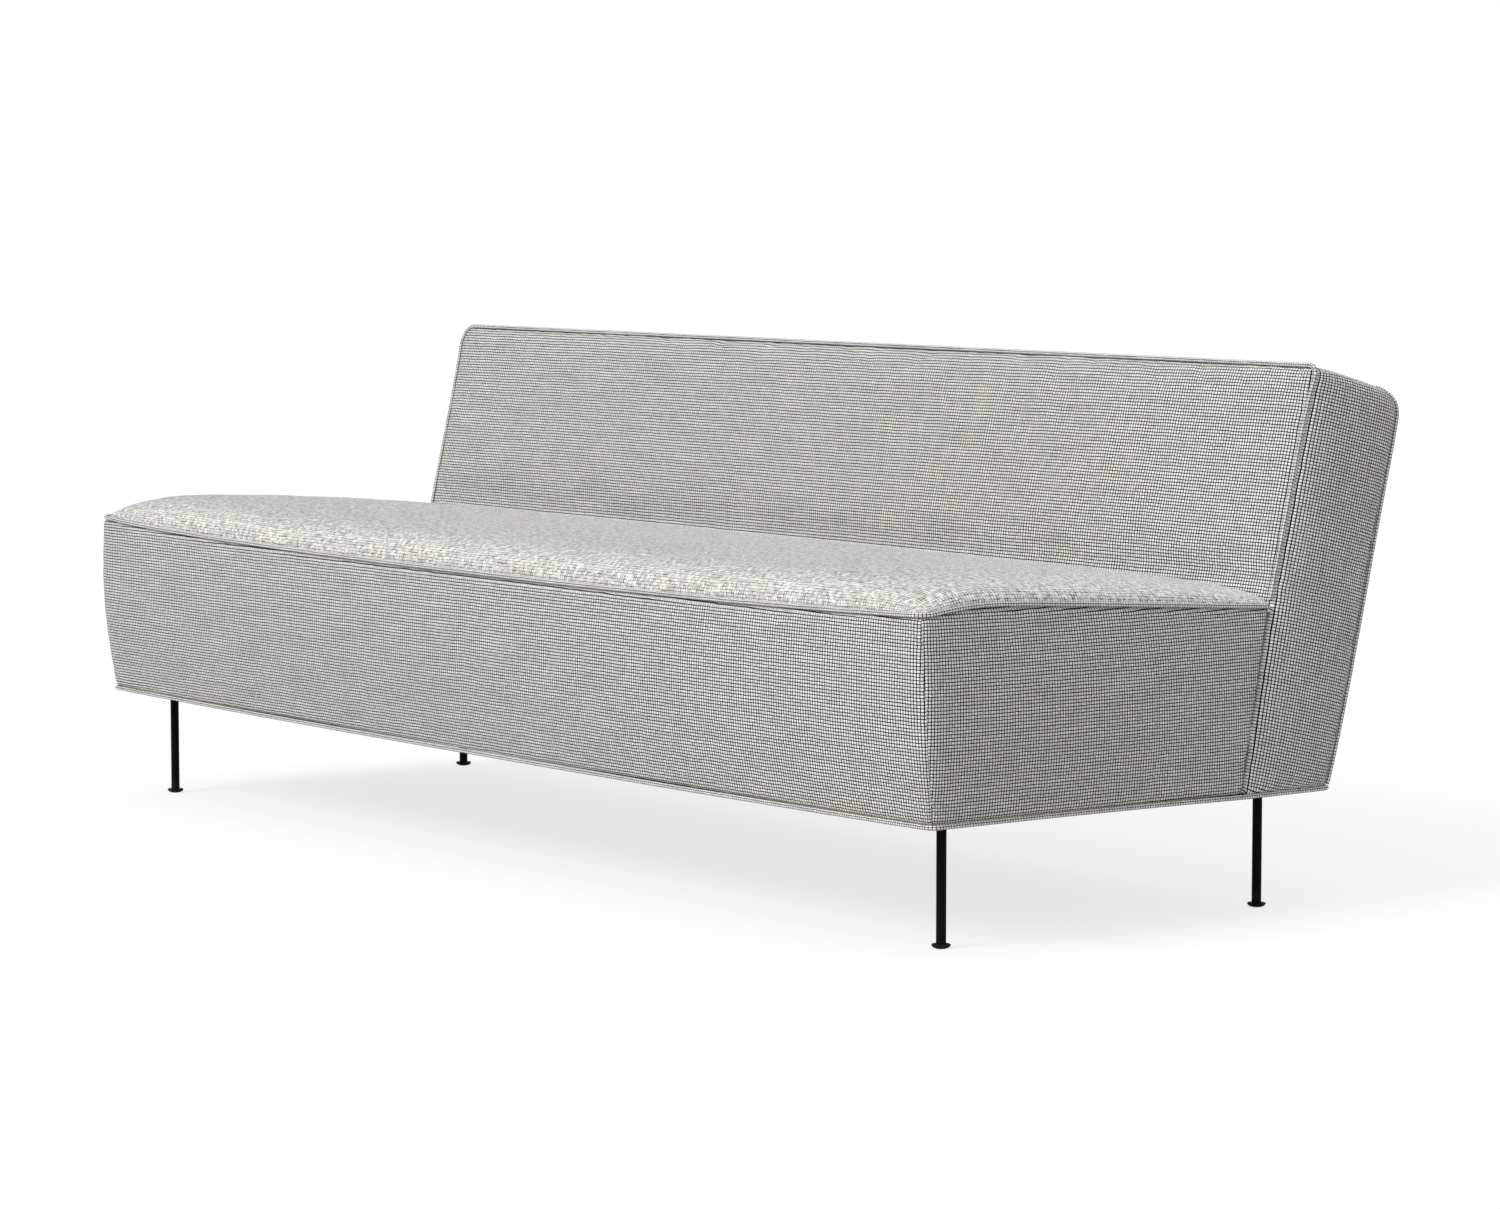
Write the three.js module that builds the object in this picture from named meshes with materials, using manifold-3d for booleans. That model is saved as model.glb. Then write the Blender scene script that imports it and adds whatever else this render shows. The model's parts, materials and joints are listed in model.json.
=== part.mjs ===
// An armless sofa: a padded seat box, a leaning padded back and four slim steel legs.
// Millimetres, +Z up, +X along the sofa, and the front faces -Y.
// Y starts at the front top seam until the last lines, which centre the finished sofa.
import * as THREE from "three";
import Module from "manifold-3d";

const wasm = await Module();
wasm.setup();

// Outline of the two covers, measured between their sewn seams
const sofaLength = 2000;
const baseHeight = 165;
const frontHeight = 430;
const seatRearHeight = 406;
const frontRake = 19;
const seatBaseDepth = 526;
const backHeight = 719;
const backLean = THREE.MathUtils.degToRad(13.7);
const backThickness = 143;
const backBaseDepth = 155;
const seatCornerRadius = 14;
const backCornerRadius = 24;

// How the stuffing swells the panels, and how their seams give way between the corners
const seatCrown = 50;
const crownRearShare = 0.55;
const crownPeakShare = 0.3;
const seamSag = 14;
const endSeamRise = 17;
const frontDraw = 6;
const endDraw = 14;
const frontBulge = 11;
const cornerBulge = 6;
const endBulge = 9;
const backFrontCrown = 10;
const backRearCrown = 18;
const backTopCrown = 2;
const backEndCrown = 13;
const coverThickness = 2;

// Fits and overruns
const touchGap = 0.3;
const paddingGap = 0.6;
const seamGap = 0.6;
const studClearance = 0.3;
const coverDrop = 60;
const farClear = 400;
const mergeDigits = 4;

// Welts: a cord in a folded strip of the cover, sewn into a seam
const weltRadius = 3.25;
const weltTilt = THREE.MathUtils.degToRad(23);
const baseWeltInset = 1.2;
const weltSides = 6;
const weltStartRise = 10;

// Seat frame of timber rails
const railThickness = 30;
const railHeight = 90;
const railInset = 20;
const rearRailInset = 12;
const centreRailHeight = 60;
const cornerBlockSize = 60;
const cornerBlockHeight = 62;

// Serpentine springs, the battens that hold their ends, and the felt over them
const springCount = 10;
const springWireRadius = 2;
const springWidth = 52;
const springBars = 12;
const springArch = 22;
const turnSlack = 12;
const wireSides = 4;
const battenWidth = 22;
const battenThickness = 8;
const feltThickness = 4;
const feltSteps = 12;

// Back frame: a sill that carries the rear legs, stiles, a top rail and webbing
const sillHeight = 45;
const sillClearance = 3;
const backFoamDepth = 60;
const strapThickness = 1.6;
const strapWidth = 60;
const strapCount = 5;
const backFrameDepth = 70;
const backTopPad = 22;
const backEndPad = 22;
const topRailHeight = 45;
const stileWidth = 45;
const midStileShare = 0.33;

// Legs, their plates and glides
const legInsetX = 61;
const legInsetY = 66;
const legRadius = 6.5;
const legChamfer = 0.8;
const studRadius = 4;
const studLength = 28;
const plateSize = 60;
const plateThickness = 3;
const plateCorner = 6;
const plateScrewRadius = 2.6;
const plateScrewReach = 21;
const glideRadius = 12.6;
const glideHeight = 6;
const glideFlatRadius = 6.5;
const glideSpigotRadius = 3;
const glideSpigotLength = 10;
const roundSides = 20;
const holeSides = 8;

// Joining bars under the seat and back frames, and the dust cover
const barWidth = 40;
const barLength = 112;
const barReachShare = 0.67;
const barHoleRadius = 3.2;
const barHoleInset = 14;
const dustCoverThickness = 1;
const dustCoverHoleClearance = 1;

// Shares of a side at which its form is sampled, from its middle to the corner's arc
const columnShares = [0.28, 0.55, 0.75, 0.89, 0.96, 1];
const seatRowShares = [0.06, 0.15, 0.3, 0.52, 0.76, 1];
const besideSeatShares = [0, 0.4, 0.75];
const aboveSeatShares = [0, 0.22, 0.55, 0.82, 1];
const skirtShares = [0.25, 0.5, 0.75, 1];
const edgeShares = [0.25, 0.5, 0.75];
const arcShares = [0, 0.25, 0.5, 0.75, 1];
const glideRimShares = [0.25, 0.5, 0.75, 0.95];

// Powers that shape the crown: high ones keep it flat and roll it steeply at the seam
const endRollPower = 9;
const frontRollPower = 4;
const rollRoundness = 0.4;
const sagPower = 2.5;
const riseRunShare = 0.12;
const riseClimbPower = 1.5;
const riseSpreadPower = 4;
const rearSeamBowShare = 0.75;
const drawPower = 1.5;
const frontDrawPower = 3;

// Places worked out from the sizes above
const halfLength = sofaLength / 2;
const leanSlope = Math.tan(backLean);
const jointFootY = frontRake + seatBaseDepth;
const rearFootY = jointFootY + backBaseDepth;
const alongSlab = new THREE.Vector3(0, Math.sin(backLean), Math.cos(backLean));
const throughSlab = new THREE.Vector3(0, Math.cos(backLean), -Math.sin(backLean));
const slabHeight = (backHeight - baseHeight) / Math.cos(backLean);
const clearOfSeat = (seatRearHeight + seatCrown - baseHeight) / Math.cos(backLean);
const foamInset = coverThickness + paddingGap;
const railTop = baseHeight + railHeight;
const frameHalf = halfLength - railInset;
const frameFront = frontRake + railInset;
const frameRear = jointFootY - rearRailInset;
const plateTop = baseHeight - touchGap;
const plateBottom = plateTop - plateThickness;
const dustCoverTop = plateBottom - touchGap;
const legX = halfLength - legInsetX;
const frontLegY = frontRake + legInsetY;
const rearLegY = rearFootY - legInsetY;
const springFront = frameFront + railThickness / 2;
const springRear = frameRear - railThickness / 2;
const springFoot = railTop + touchGap + springWireRadius;
const battenFoot = springFoot + springWireRadius + touchGap;
const battenTop = battenFoot + battenThickness;
const springTop = springFoot + springWireRadius + springArch;
const feltEdge = battenTop + touchGap;
const feltCrest = Math.max(springTop, battenTop) + touchGap;
const seatFoamFoot = feltCrest + feltThickness + touchGap;
const sillTop = baseHeight + sillHeight;
const strapFront = foamInset + backFoamDepth + touchGap;
const backFrameFront = strapFront + strapThickness + touchGap;
const backFrameRear = backFrameFront + backFrameDepth;
const backFrameTop = slabHeight - backTopPad;
const backFrameHalf = halfLength - backEndPad;
const stileReach = backFrameHalf - stileWidth / 2;

// Y of the plane on which the seat and the back meet, at a height
function jointY(z) {
  return jointFootY + (z - baseHeight) * leanSlope;
}

// A point of the back, by its distance through the slab and along it
function slabPoint(x, through, along) {
  const point = new THREE.Vector3(x, jointFootY, baseHeight);
  point.addScaledVector(throughSlab, through);
  point.addScaledVector(alongSlab, along);
  return point;
}

// Y on a plane through the slab, at a height
function slabY(through, z) {
  return jointY(z) + through / Math.cos(backLean);
}

// A stuffed profile: 0 at both ends, 1 in the middle
function swell(share) {
  const fromMiddle = Math.abs(2 * share - 1);
  return Math.pow(Math.max(1 - Math.pow(fromMiddle, frontRollPower), 0), rollRoundness);
}

// The crown across the length: flat, then rolling down steeply to the end seams
function lengthRoll(u) {
  return Math.pow(Math.max(1 - Math.pow(Math.abs(u), endRollPower), 0), rollRoundness);
}

// The crown from front to rear: a steep roll, a peak, and a slow fall under the back
function depthRoll(v) {
  const climb = 1 - Math.min(v / crownPeakShare, 1);
  const rise = Math.pow(1 - Math.pow(climb, frontRollPower), rollRoundness);
  const past = Math.max(v - crownPeakShare, 0) / (1 - crownPeakShare);
  return rise * (1 - (1 - crownRearShare) * past * past);
}

// A height as a share of the way from the lower edge to the top of the back
function heightShare(z) {
  return THREE.MathUtils.clamp((z - baseHeight) / (backHeight - baseHeight), 0, 1);
}

// How far the end seams are drawn in beside the back, at a height
function seamDraw(z) {
  return endDraw * Math.sin(Math.PI * heightShare(z));
}

// The rise of the end seams: a quick climb behind the front corner, then a slow fall
function endRise(u, v) {
  const climb = 1 - Math.exp(-Math.pow(v / riseRunShare, riseClimbPower));
  return endSeamRise * climb * (1 - v) * Math.pow(Math.abs(u), riseSpreadPower);
}

// Height of the seat's sewn seam plane at a share u of the half length and v of the depth
function seatSeamZ(u, v) {
  const front = frontHeight - seamSag * (1 - Math.pow(Math.abs(u), sagPower));
  return front * (1 - v) + seatRearHeight * v + endRise(u, v);
}

// Places along the whole length, with an extra one halfway round each corner's arc
function columnPlaces(reach, radius) {
  const side = columnShares.map((share) => share * (reach - radius));
  side.push(reach - radius / 2, reach);
  const mirrored = side.map((place) => -place).reverse();
  return [...mirrored, 0, ...side];
}

// Moves a place in a square corner onto the quarter disc inside that corner
function roundCorner(a, b, radius) {
  if (a <= 0 || b <= 0) {
    return [a, b];
  }
  const twoSquares = 2 * radius * radius;
  return [a * Math.sqrt(1 - (b * b) / twoSquares), b * Math.sqrt(1 - (a * a) / twoSquares)];
}

// Rounds the front corners of a plan: y counts from the front edge
function roundFront(x, y, reach, radius) {
  const beyond = Math.abs(x) - (reach - radius);
  const [across, along] = roundCorner(beyond, radius - y, radius);
  if (beyond <= 0) {
    return [x, y];
  }
  return [Math.sign(x) * (reach - radius + across), radius - along];
}

// The grid cells round the border of a grid, in order
function borderCells(columns, rows) {
  const cells = [];
  for (let i = 0; i < columns - 1; i += 1) {
    cells.push([i, 0]);
  }
  for (let j = 0; j < rows - 1; j += 1) {
    cells.push([columns - 1, j]);
  }
  for (let i = columns - 1; i > 0; i -= 1) {
    cells.push([i, rows - 1]);
  }
  for (let j = rows - 1; j > 0; j -= 1) {
    cells.push([0, j]);
  }
  return cells;
}

// Points and faces of one closed body
class Skin {
  constructor() {
    this.points = [];
    this.faces = [];
  }

  add(point) {
    this.points.push(point);
    return this.points.length - 1;
  }

  addGrid(grid, facesOut) {
    const table = grid.map((column) => column.map((point) => this.add(point)));
    for (let i = 0; i + 1 < table.length; i += 1) {
      for (let j = 0; j + 1 < table[i].length; j += 1) {
        const cell = [table[i][j], table[i + 1][j], table[i + 1][j + 1], table[i][j + 1]];
        this.quad(...(facesOut ? cell : cell.reverse()));
      }
    }
    return borderCells(grid.length, grid[0].length).map(([i, j]) => table[i][j]);
  }

  quad(a, b, c, d) {
    this.faces.push([a, b, c], [a, c, d]);
  }

  addWall(upper, lower) {
    upper.forEach((start, n) => {
      const next = (n + 1) % upper.length;
      this.quad(start, lower[n], lower[next], upper[next]);
    });
  }

  closeFlat(loop) {
    const outline = loop.map((n) => new THREE.Vector2(this.points[n].x, this.points[n].y));
    const flat = THREE.ShapeUtils.triangulateShape(outline, []);
    flat.forEach(([a, b, c]) => this.faces.push([loop[c], loop[b], loop[a]]));
  }

  toSolid() {
    const vertProperties = new Float32Array(this.points.flatMap((point) => point.toArray()));
    const triVerts = new Uint32Array(this.faces.flat());
    return new wasm.Manifold(new wasm.Mesh({ numProp: 3, vertProperties, triVerts }));
  }
}

// A three.js geometry as a solid that can be cut and joined
function solidOf(geometry) {
  const skin = new Skin();
  const seen = new Map();
  const position = geometry.getAttribute("position");
  const inOrder = [...Array(position.count).keys()];
  const corners = geometry.index ? Array.from(geometry.index.array) : inOrder;
  const merged = corners.map((n) => {
    const point = new THREE.Vector3().fromBufferAttribute(position, n);
    const key = point.toArray().map((value) => value.toFixed(mergeDigits)).join();
    if (!seen.has(key)) {
      seen.set(key, skin.add(point));
    }
    return seen.get(key);
  });
  for (let n = 0; n < merged.length; n += 3) {
    skin.faces.push(merged.slice(n, n + 3));
  }
  return skin.toSolid();
}

// A solid as a three.js geometry
function geometryOf(solid) {
  const { numProp, vertProperties, triVerts } = solid.getMesh();
  const geometry = new THREE.BufferGeometry();
  const places = [];
  for (let n = 0; n < vertProperties.length; n += numProp) {
    places.push(vertProperties[n], vertProperties[n + 1], vertProperties[n + 2]);
  }
  geometry.setAttribute("position", new THREE.Float32BufferAttribute(places, 3));
  geometry.setIndex(Array.from(triVerts));
  return geometry;
}

// A box between two corners
function boxBetween(low, high) {
  const size = high.map((value, n) => value - low[n]);
  const box = new THREE.BoxGeometry(...size);
  box.translate(...low.map((value, n) => value + size[n] / 2));
  return box;
}

// A box in the leaning frame of the back: x, through the slab, along the slab
function slabBox(low, high) {
  const box = boxBetween(low, high);
  box.rotateX(-backLean);
  box.translate(0, jointFootY, baseHeight);
  return box;
}

// A flat profile of (y, z) points extruded along X, centred on x
function alongX(profile, x, width) {
  const shape = new THREE.Shape(profile.map(([y, z]) => new THREE.Vector2(y, z)));
  const bar = new THREE.ExtrudeGeometry(shape, { depth: width, bevelEnabled: false });
  const turn = new THREE.Matrix4().set(0, 0, 1, x - width / 2, 1, 0, 0, 0, 0, 1, 0, 0, 0, 0, 0, 1);
  bar.applyMatrix4(turn);
  return bar;
}

// A flat plate with round holes, lying in plan, from its outline and the holes' centres
function plateWithHoles(outline, holes, foot, thickness) {
  const shape = new THREE.Shape(outline.map(([x, y]) => new THREE.Vector2(x, y)));
  holes.forEach(({ x, y, radius }) => {
    const hole = new THREE.Path();
    hole.absarc(x, y, radius, 0, Math.PI * 2, true);
    shape.holes.push(hole);
  });
  const options = { depth: thickness, bevelEnabled: false, curveSegments: holeSides };
  const plate = new THREE.ExtrudeGeometry(shape, options);
  plate.translate(0, 0, foot);
  return plate;
}

// A rectangle in plan with cut corners
function cutRectangle(x, y, width, depth, cut) {
  const w = width / 2;
  const d = depth / 2;
  return [
    [x - w + cut, y - d],
    [x + w - cut, y - d],
    [x + w, y - d + cut],
    [x + w, y + d - cut],
    [x + w - cut, y + d],
    [x - w + cut, y + d],
    [x - w, y + d - cut],
    [x - w, y - d + cut],
  ];
}

// A turned piece about a vertical axis, from (radius, height) points that start and end on it
function turned(profile, x, y) {
  const points = profile.map(([radius, height]) => new THREE.Vector2(radius, height));
  const body = new THREE.LatheGeometry(points, roundSides);
  body.rotateX(Math.PI / 2);
  body.translate(x, y, 0);
  return body;
}

// Direction of a path at one of its stations
function directionAt(path, n, closed) {
  const last = path.length - 1;
  const before = closed ? path[(n + last) % path.length] : path[Math.max(n - 1, 0)];
  const after = closed ? path[(n + 1) % path.length] : path[Math.min(n + 1, last)];
  return after.clone().sub(before).normalize();
}

// A round tube with one ring of points at each station of its path
function tube(path, radius, sides, closed) {
  const skin = new Skin();
  const side = new THREE.Vector3(0, 0, 1);
  const rings = path.map((centre, n) => {
    const direction = directionAt(path, n, closed);
    side.addScaledVector(direction, -side.dot(direction)).normalize();
    const across = new THREE.Vector3().crossVectors(direction, side);
    return Array.from({ length: sides }, (_, k) => {
      const angle = (Math.PI * 2 * k) / sides;
      const point = centre.clone().addScaledVector(side, radius * Math.cos(angle));
      return skin.add(point.addScaledVector(across, radius * Math.sin(angle)));
    });
  });
  for (let n = 0; n + 1 < rings.length; n += 1) {
    skin.addWall(rings[n + 1], rings[n]);
  }
  if (closed) {
    skin.addWall(rings[0], rings[rings.length - 1]);
  } else {
    closeEnd(skin, rings[0], true);
    closeEnd(skin, rings[rings.length - 1], false);
  }
  return geometryOf(skin.toSolid());
}

// A flat end of a tube
function closeEnd(skin, ring, isStart) {
  for (let n = 1; n + 1 < ring.length; n += 1) {
    const face = [ring[0], ring[n], ring[n + 1]];
    skin.faces.push(isStart ? face.reverse() : face);
  }
}

// Rows of the seat's top, in distance from its front edge
function seatRows(depth, radius) {
  const straight = seatRowShares.map((share) => radius + share * (depth - radius));
  return [0, radius / 2, radius, ...straight];
}

// The top of the seat as a grid of points, drawn inward by an inset
function seatTop(inset, lift) {
  const reach = halfLength - inset;
  const radius = seatCornerRadius - inset;
  return columnPlaces(reach, radius).map((x) => {
    const u = x / reach;
    const rearZ = seatRearHeight + crownRearShare * seatCrown * lengthRoll(u) - inset;
    const rearY = jointY(rearZ) - inset - seamGap;
    return seatRows(rearY - inset, radius).map((y) => {
      const v = y / (rearY - inset);
      const [roundX, roundY] = roundFront(x, y, reach, radius);
      const narrowing = seamDraw(seatRearHeight) * Math.pow(v, drawPower);
      const setBack = frontDraw * (1 - Math.pow(Math.abs(u), frontRollPower));
      const drawnX = roundX * (1 - narrowing / halfLength);
      const drawnY = roundY + inset + setBack * Math.pow(1 - v, frontDrawPower);
      const z = seatSeamZ(u, v) + seatCrown * lengthRoll(u) * depthRoll(v);
      return new THREE.Vector3(drawnX, drawnY, z - inset + lift);
    });
  });
}

// The seat's lower edge under each place of its top's border
function seatFoot(inset) {
  const reach = halfLength - inset;
  const radius = seatCornerRadius - inset;
  const depth = seatBaseDepth - 2 * inset - seamGap;
  return columnPlaces(reach, radius).map((x) =>
    seatRows(depth, radius).map((y) => {
      const [roundX, roundY] = roundFront(x, y, reach, radius);
      return new THREE.Vector3(roundX, frontRake + inset + roundY, baseHeight);
    })
  );
}

// How far the wall below a border place swells out, to the side and to the front
function seatSwell(u, v, share) {
  const arch = Math.sin(Math.PI * share);
  const onEnd = Math.abs(u) === 1;
  const onFront = v === 0;
  const endPart = cornerBulge + (endBulge - cornerBulge) * swell(v);
  const frontPart = cornerBulge + (frontBulge - cornerBulge) * lengthRoll(u);
  const fade = 1 - Math.pow(v, frontRollPower);
  return [onEnd ? Math.sign(u) * endPart * fade * arch : 0, onFront ? frontPart * arch : 0];
}

// One ring of the seat's wall, part of the way from the top's border to the lower edge
function seatRing(top, foot, share, inset) {
  const rows = top[0].length;
  const reach = halfLength - inset;
  return borderCells(top.length, rows).map(([i, j]) => {
    const from = top[i][j];
    const point = from.clone().lerp(foot[i][j], share);
    const u = i === 0 || i === top.length - 1 ? Math.sign(from.x) : from.x / reach;
    const v = j === 0 ? 0 : (foot[i][j].y - frontRake - inset) / (seatBaseDepth - 2 * inset);
    const [out, forward] = seatSwell(u, v, share);
    point.x += out;
    point.y -= forward;
    if (j === rows - 1) {
      point.y = jointY(point.z) - inset - seamGap;
      const drawn = (halfLength - inset - seamDraw(point.z)) / (halfLength - inset);
      point.x = foot[i][j].x * drawn;
    }
    return point;
  });
}

// The whole seat as one stuffed form, drawn inward by an inset, with its foot lowered by a drop
function seatForm(inset, drop) {
  const top = seatTop(inset, 0);
  const foot = seatFoot(inset);
  const skin = new Skin();
  let upper = skin.addGrid(top, true);
  skirtShares.forEach((share) => {
    const lower = seatRing(top, foot, share, inset).map((point) => skin.add(point));
    skin.addWall(upper, lower);
    upper = lower;
  });
  if (drop > 0) {
    const lowest = upper.map((n) => skin.add(skin.points[n].clone().setZ(baseHeight - drop)));
    skin.addWall(upper, lowest);
    upper = lowest;
  }
  skin.closeFlat(upper);
  return skin.toSolid();
}

// Rows of the back's faces, in distance along the slab: beside the seat, then above it
function backRows(height, radius) {
  const beside = besideSeatShares.map((share) => share * clearOfSeat);
  const above = aboveSeatShares.map((share) => clearOfSeat + share * (height - radius - clearOfSeat));
  return [...beside, ...above, height - radius / 2, height];
}

// Rounds the top corners of the back: along counts from its foot
function roundTop(x, along, reach, height, radius) {
  const [roundX, fromTop] = roundFront(x, height - along, reach, radius);
  return [roundX, height - fromTop];
}

// The front or the rear face of the back as a grid of points
function backFace(inset, rear) {
  const reach = halfLength - inset;
  const height = slabHeight - inset;
  const radius = backCornerRadius - inset;
  return columnPlaces(reach, radius).map((x) =>
    backRows(height, radius).map((along) => {
      const [roundX, roundAlong] = roundTop(x, along, reach, height, radius);
      const share = roundAlong / height;
      const footDepth = backBaseDepth * Math.cos(backLean);
      const depth = THREE.MathUtils.lerp(footDepth, backThickness, share);
      const above = THREE.MathUtils.clamp((along - clearOfSeat) / (height - clearOfSeat), 0, 1);
      const forward = backFrontCrown * lengthRoll(x / reach) * swell(above);
      const rearSpread = THREE.MathUtils.lerp(rearSeamBowShare, 1, lengthRoll(x / reach));
      const backward = backRearCrown * rearSpread * swell(along / height);
      const through = rear ? depth - inset + backward : inset - forward;
      const point = slabPoint(roundX, through, roundAlong);
      point.x *= 1 - seamDraw(point.z) / halfLength;
      return point;
    })
  );
}

// Makes the foot of a face level, however far the slab leans, and carries it down by a drop
function levelFoot(face, drop) {
  face.forEach((column) => {
    const [foot, next] = column;
    foot.lerp(next, (baseHeight - foot.z) / (next.z - foot.z));
    if (drop > 0) {
      column.unshift(foot.clone().addScaledVector(alongSlab, -drop / Math.cos(backLean)));
    }
  });
}

// One ring of the back's edge, part of the way from its front face to its rear face
function backRing(front, rear, share) {
  const rows = front[0].length;
  return borderCells(front.length, rows).map(([i, j]) => {
    const point = front[i][j].clone().lerp(rear[i][j], share);
    const arch = Math.sin(Math.PI * share);
    if (i === 0 || i === front.length - 1) {
      point.x += Math.sign(point.x) * backEndCrown * arch * swell(heightShare(point.z));
    }
    if (j === rows - 1) {
      point.addScaledVector(alongSlab, backTopCrown * arch);
    }
    return point;
  });
}

// The whole back as one stuffed form, drawn inward by an inset, with its foot lowered by a drop
function backForm(inset, drop) {
  const front = backFace(inset, false);
  const rear = backFace(inset, true);
  levelFoot(front, drop);
  levelFoot(rear, drop);
  const skin = new Skin();
  let loop = skin.addGrid(front, true);
  edgeShares.forEach((share) => {
    const next = backRing(front, rear, share).map((point) => skin.add(point));
    skin.addWall(loop, next);
    loop = next;
  });
  skin.addWall(loop, skin.addGrid(rear, false));
  return skin.toSolid();
}

// Cover of the seat: a sewn shell, open below
function seatCover() {
  const outside = seatForm(0, 0);
  const inside = seatForm(coverThickness, coverDrop);
  return geometryOf(outside.subtract(inside));
}

// Cover of the back: a sewn shell, open below
function backCover() {
  const outside = backForm(0, 0);
  const inside = backForm(coverThickness, coverDrop);
  return geometryOf(outside.subtract(inside));
}

// Welt in the seam round the front and the ends of the seat's top
function seatTopWelt() {
  const reach = weltRadius + touchGap;
  const out = -reach * Math.cos(weltTilt);
  const top = seatTop(out, out + reach * Math.sin(weltTilt));
  const rows = top[0].length;
  const left = top[0].slice(1, rows).reverse();
  const front = top.map((column) => column[0]);
  const right = top[top.length - 1].slice(1, rows);
  const path = [...left, ...front, ...right];
  const rearEnd = (point) => point.setY(point.y - weltRadius);
  rearEnd(path[0]);
  rearEnd(path[path.length - 1]);
  return tube(path, weltRadius, weltSides, false);
}

// The part of an upright run of border points that stands above a height
function aboveHeight(run, z) {
  const first = run.findIndex((point) => point.z > z);
  const below = run[first - 1];
  const start = below.clone().lerp(run[first], (z - below.z) / (run[first].z - below.z));
  return [start, ...run.slice(first)];
}

// Welt along one long edge of the back: up one end, over the top and down the other end
function backWelt(isRear) {
  const reach = weltRadius + touchGap;
  const out = -reach * Math.cos(weltTilt);
  const face = backFace(out, isRear);
  const rows = face[0].length;
  const startZ = isRear ? baseHeight + weltRadius : seatRearHeight + weltStartRise;
  const left = aboveHeight(face[0].slice(0, rows - 1), startZ);
  const top = face.map((column) => column[rows - 1]);
  const right = aboveHeight(face[face.length - 1].slice(0, rows - 1), startZ).reverse();
  const path = [...left, ...top, ...right];
  const shift = (isRear ? 1 : -1) * (out + reach * Math.sin(weltTilt));
  path.forEach((point) => point.addScaledVector(throughSlab, shift));
  return tube(path, weltRadius, weltSides, false);
}

// Plan of the lower edge of seat and back together, with rounded corners
function basePlan(inset) {
  const reach = halfLength - inset;
  const radius = seatCornerRadius - inset;
  const depth = rearFootY - frontRake - 2 * inset;
  const corners = [
    [reach - radius, radius, -1],
    [reach - radius, depth - radius, 0],
    [radius - reach, depth - radius, 1],
    [radius - reach, radius, 2],
  ];
  return corners.flatMap(([x, y, quarter]) =>
    arcShares.map((share) => {
      const angle = ((quarter + share) * Math.PI) / 2;
      return [x + radius * Math.cos(angle), frontRake + inset + y + radius * Math.sin(angle)];
    })
  );
}

// Welt right round the lower edge
function baseWelt() {
  const z = baseHeight - touchGap - weltRadius;
  const path = basePlan(baseWeltInset).map(([x, y]) => new THREE.Vector3(x, y, z));
  return tube(path, weltRadius, weltSides, true);
}

// Foam block of the seat, from the felt up to the inside of the cover
function seatFoam() {
  const low = [-farClear - halfLength, -farClear, baseHeight - farClear];
  const high = [halfLength + farClear, jointFootY + farClear, seatFoamFoot];
  return geometryOf(seatForm(foamInset, 0).subtract(solidOf(boxBetween(low, high))));
}

// Foam border round the rails, below the foam block
function seatBorderFoam() {
  const above = boxBetween(
    [-farClear - halfLength, -farClear, seatFoamFoot - touchGap],
    [halfLength + farClear, jointFootY + farClear, frontHeight + farClear]
  );
  const frame = boxBetween(
    [-frameHalf - touchGap, frameFront - touchGap, baseHeight - farClear],
    [frameHalf + touchGap, frameRear + touchGap, frontHeight + farClear]
  );
  return geometryOf(seatForm(foamInset, 0).subtract(solidOf(above)).subtract(solidOf(frame)));
}

// One rail of the seat frame
function rail(name, x, y, width, depth, height) {
  const low = [x - width / 2, y - depth / 2, baseHeight];
  const high = [x + width / 2, y + depth / 2, baseHeight + height];
  place(name, boxBetween(low, high), materials.timber);
}

// Front and rear rails over the full length, with side and centre rails between them
function seatFrame() {
  const middleY = (frameFront + frameRear) / 2;
  const between = frameRear - frameFront - 2 * railThickness - 2 * touchGap;
  rail("seat_front_rail", 0, springFront, 2 * frameHalf, railThickness, railHeight);
  rail("seat_rear_rail", 0, springRear, 2 * frameHalf, railThickness, railHeight);
  rail("seat_left_rail", railThickness / 2 - frameHalf, middleY, railThickness, between, railHeight);
  rail("seat_right_rail", frameHalf - railThickness / 2, middleY, railThickness, between, railHeight);
  rail("seat_centre_rail", 0, middleY, railThickness, between, centreRailHeight);
}

// A block in a front corner of the seat frame, bored for the stud of the leg below it
function cornerBlock(side) {
  const centre = railThickness + touchGap + cornerBlockSize / 2;
  const x = side * (frameHalf - centre);
  const y = frameFront + centre;
  const outline = cutRectangle(x, y, cornerBlockSize, cornerBlockSize, studRadius);
  const bore = { x: side * legX, y: frontLegY, radius: studRadius + studClearance };
  return plateWithHoles(outline, [bore], baseHeight, cornerBlockHeight);
}

// Middles of the equal parts into which a run about the centre is shared
function sharedOut(run, count) {
  const part = run / count;
  return Array.from({ length: count }, (_, n) => n * part + (part - run) / 2);
}

// How far a spring is arched above its held ends, at a place between the rails
function springLift(y) {
  const held = (battenWidth + turnSlack) / 2;
  const share = (y - springFront - held) / (springRear - springFront - 2 * held);
  return springArch * Math.sin(Math.PI * THREE.MathUtils.clamp(share, 0, 1));
}

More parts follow.
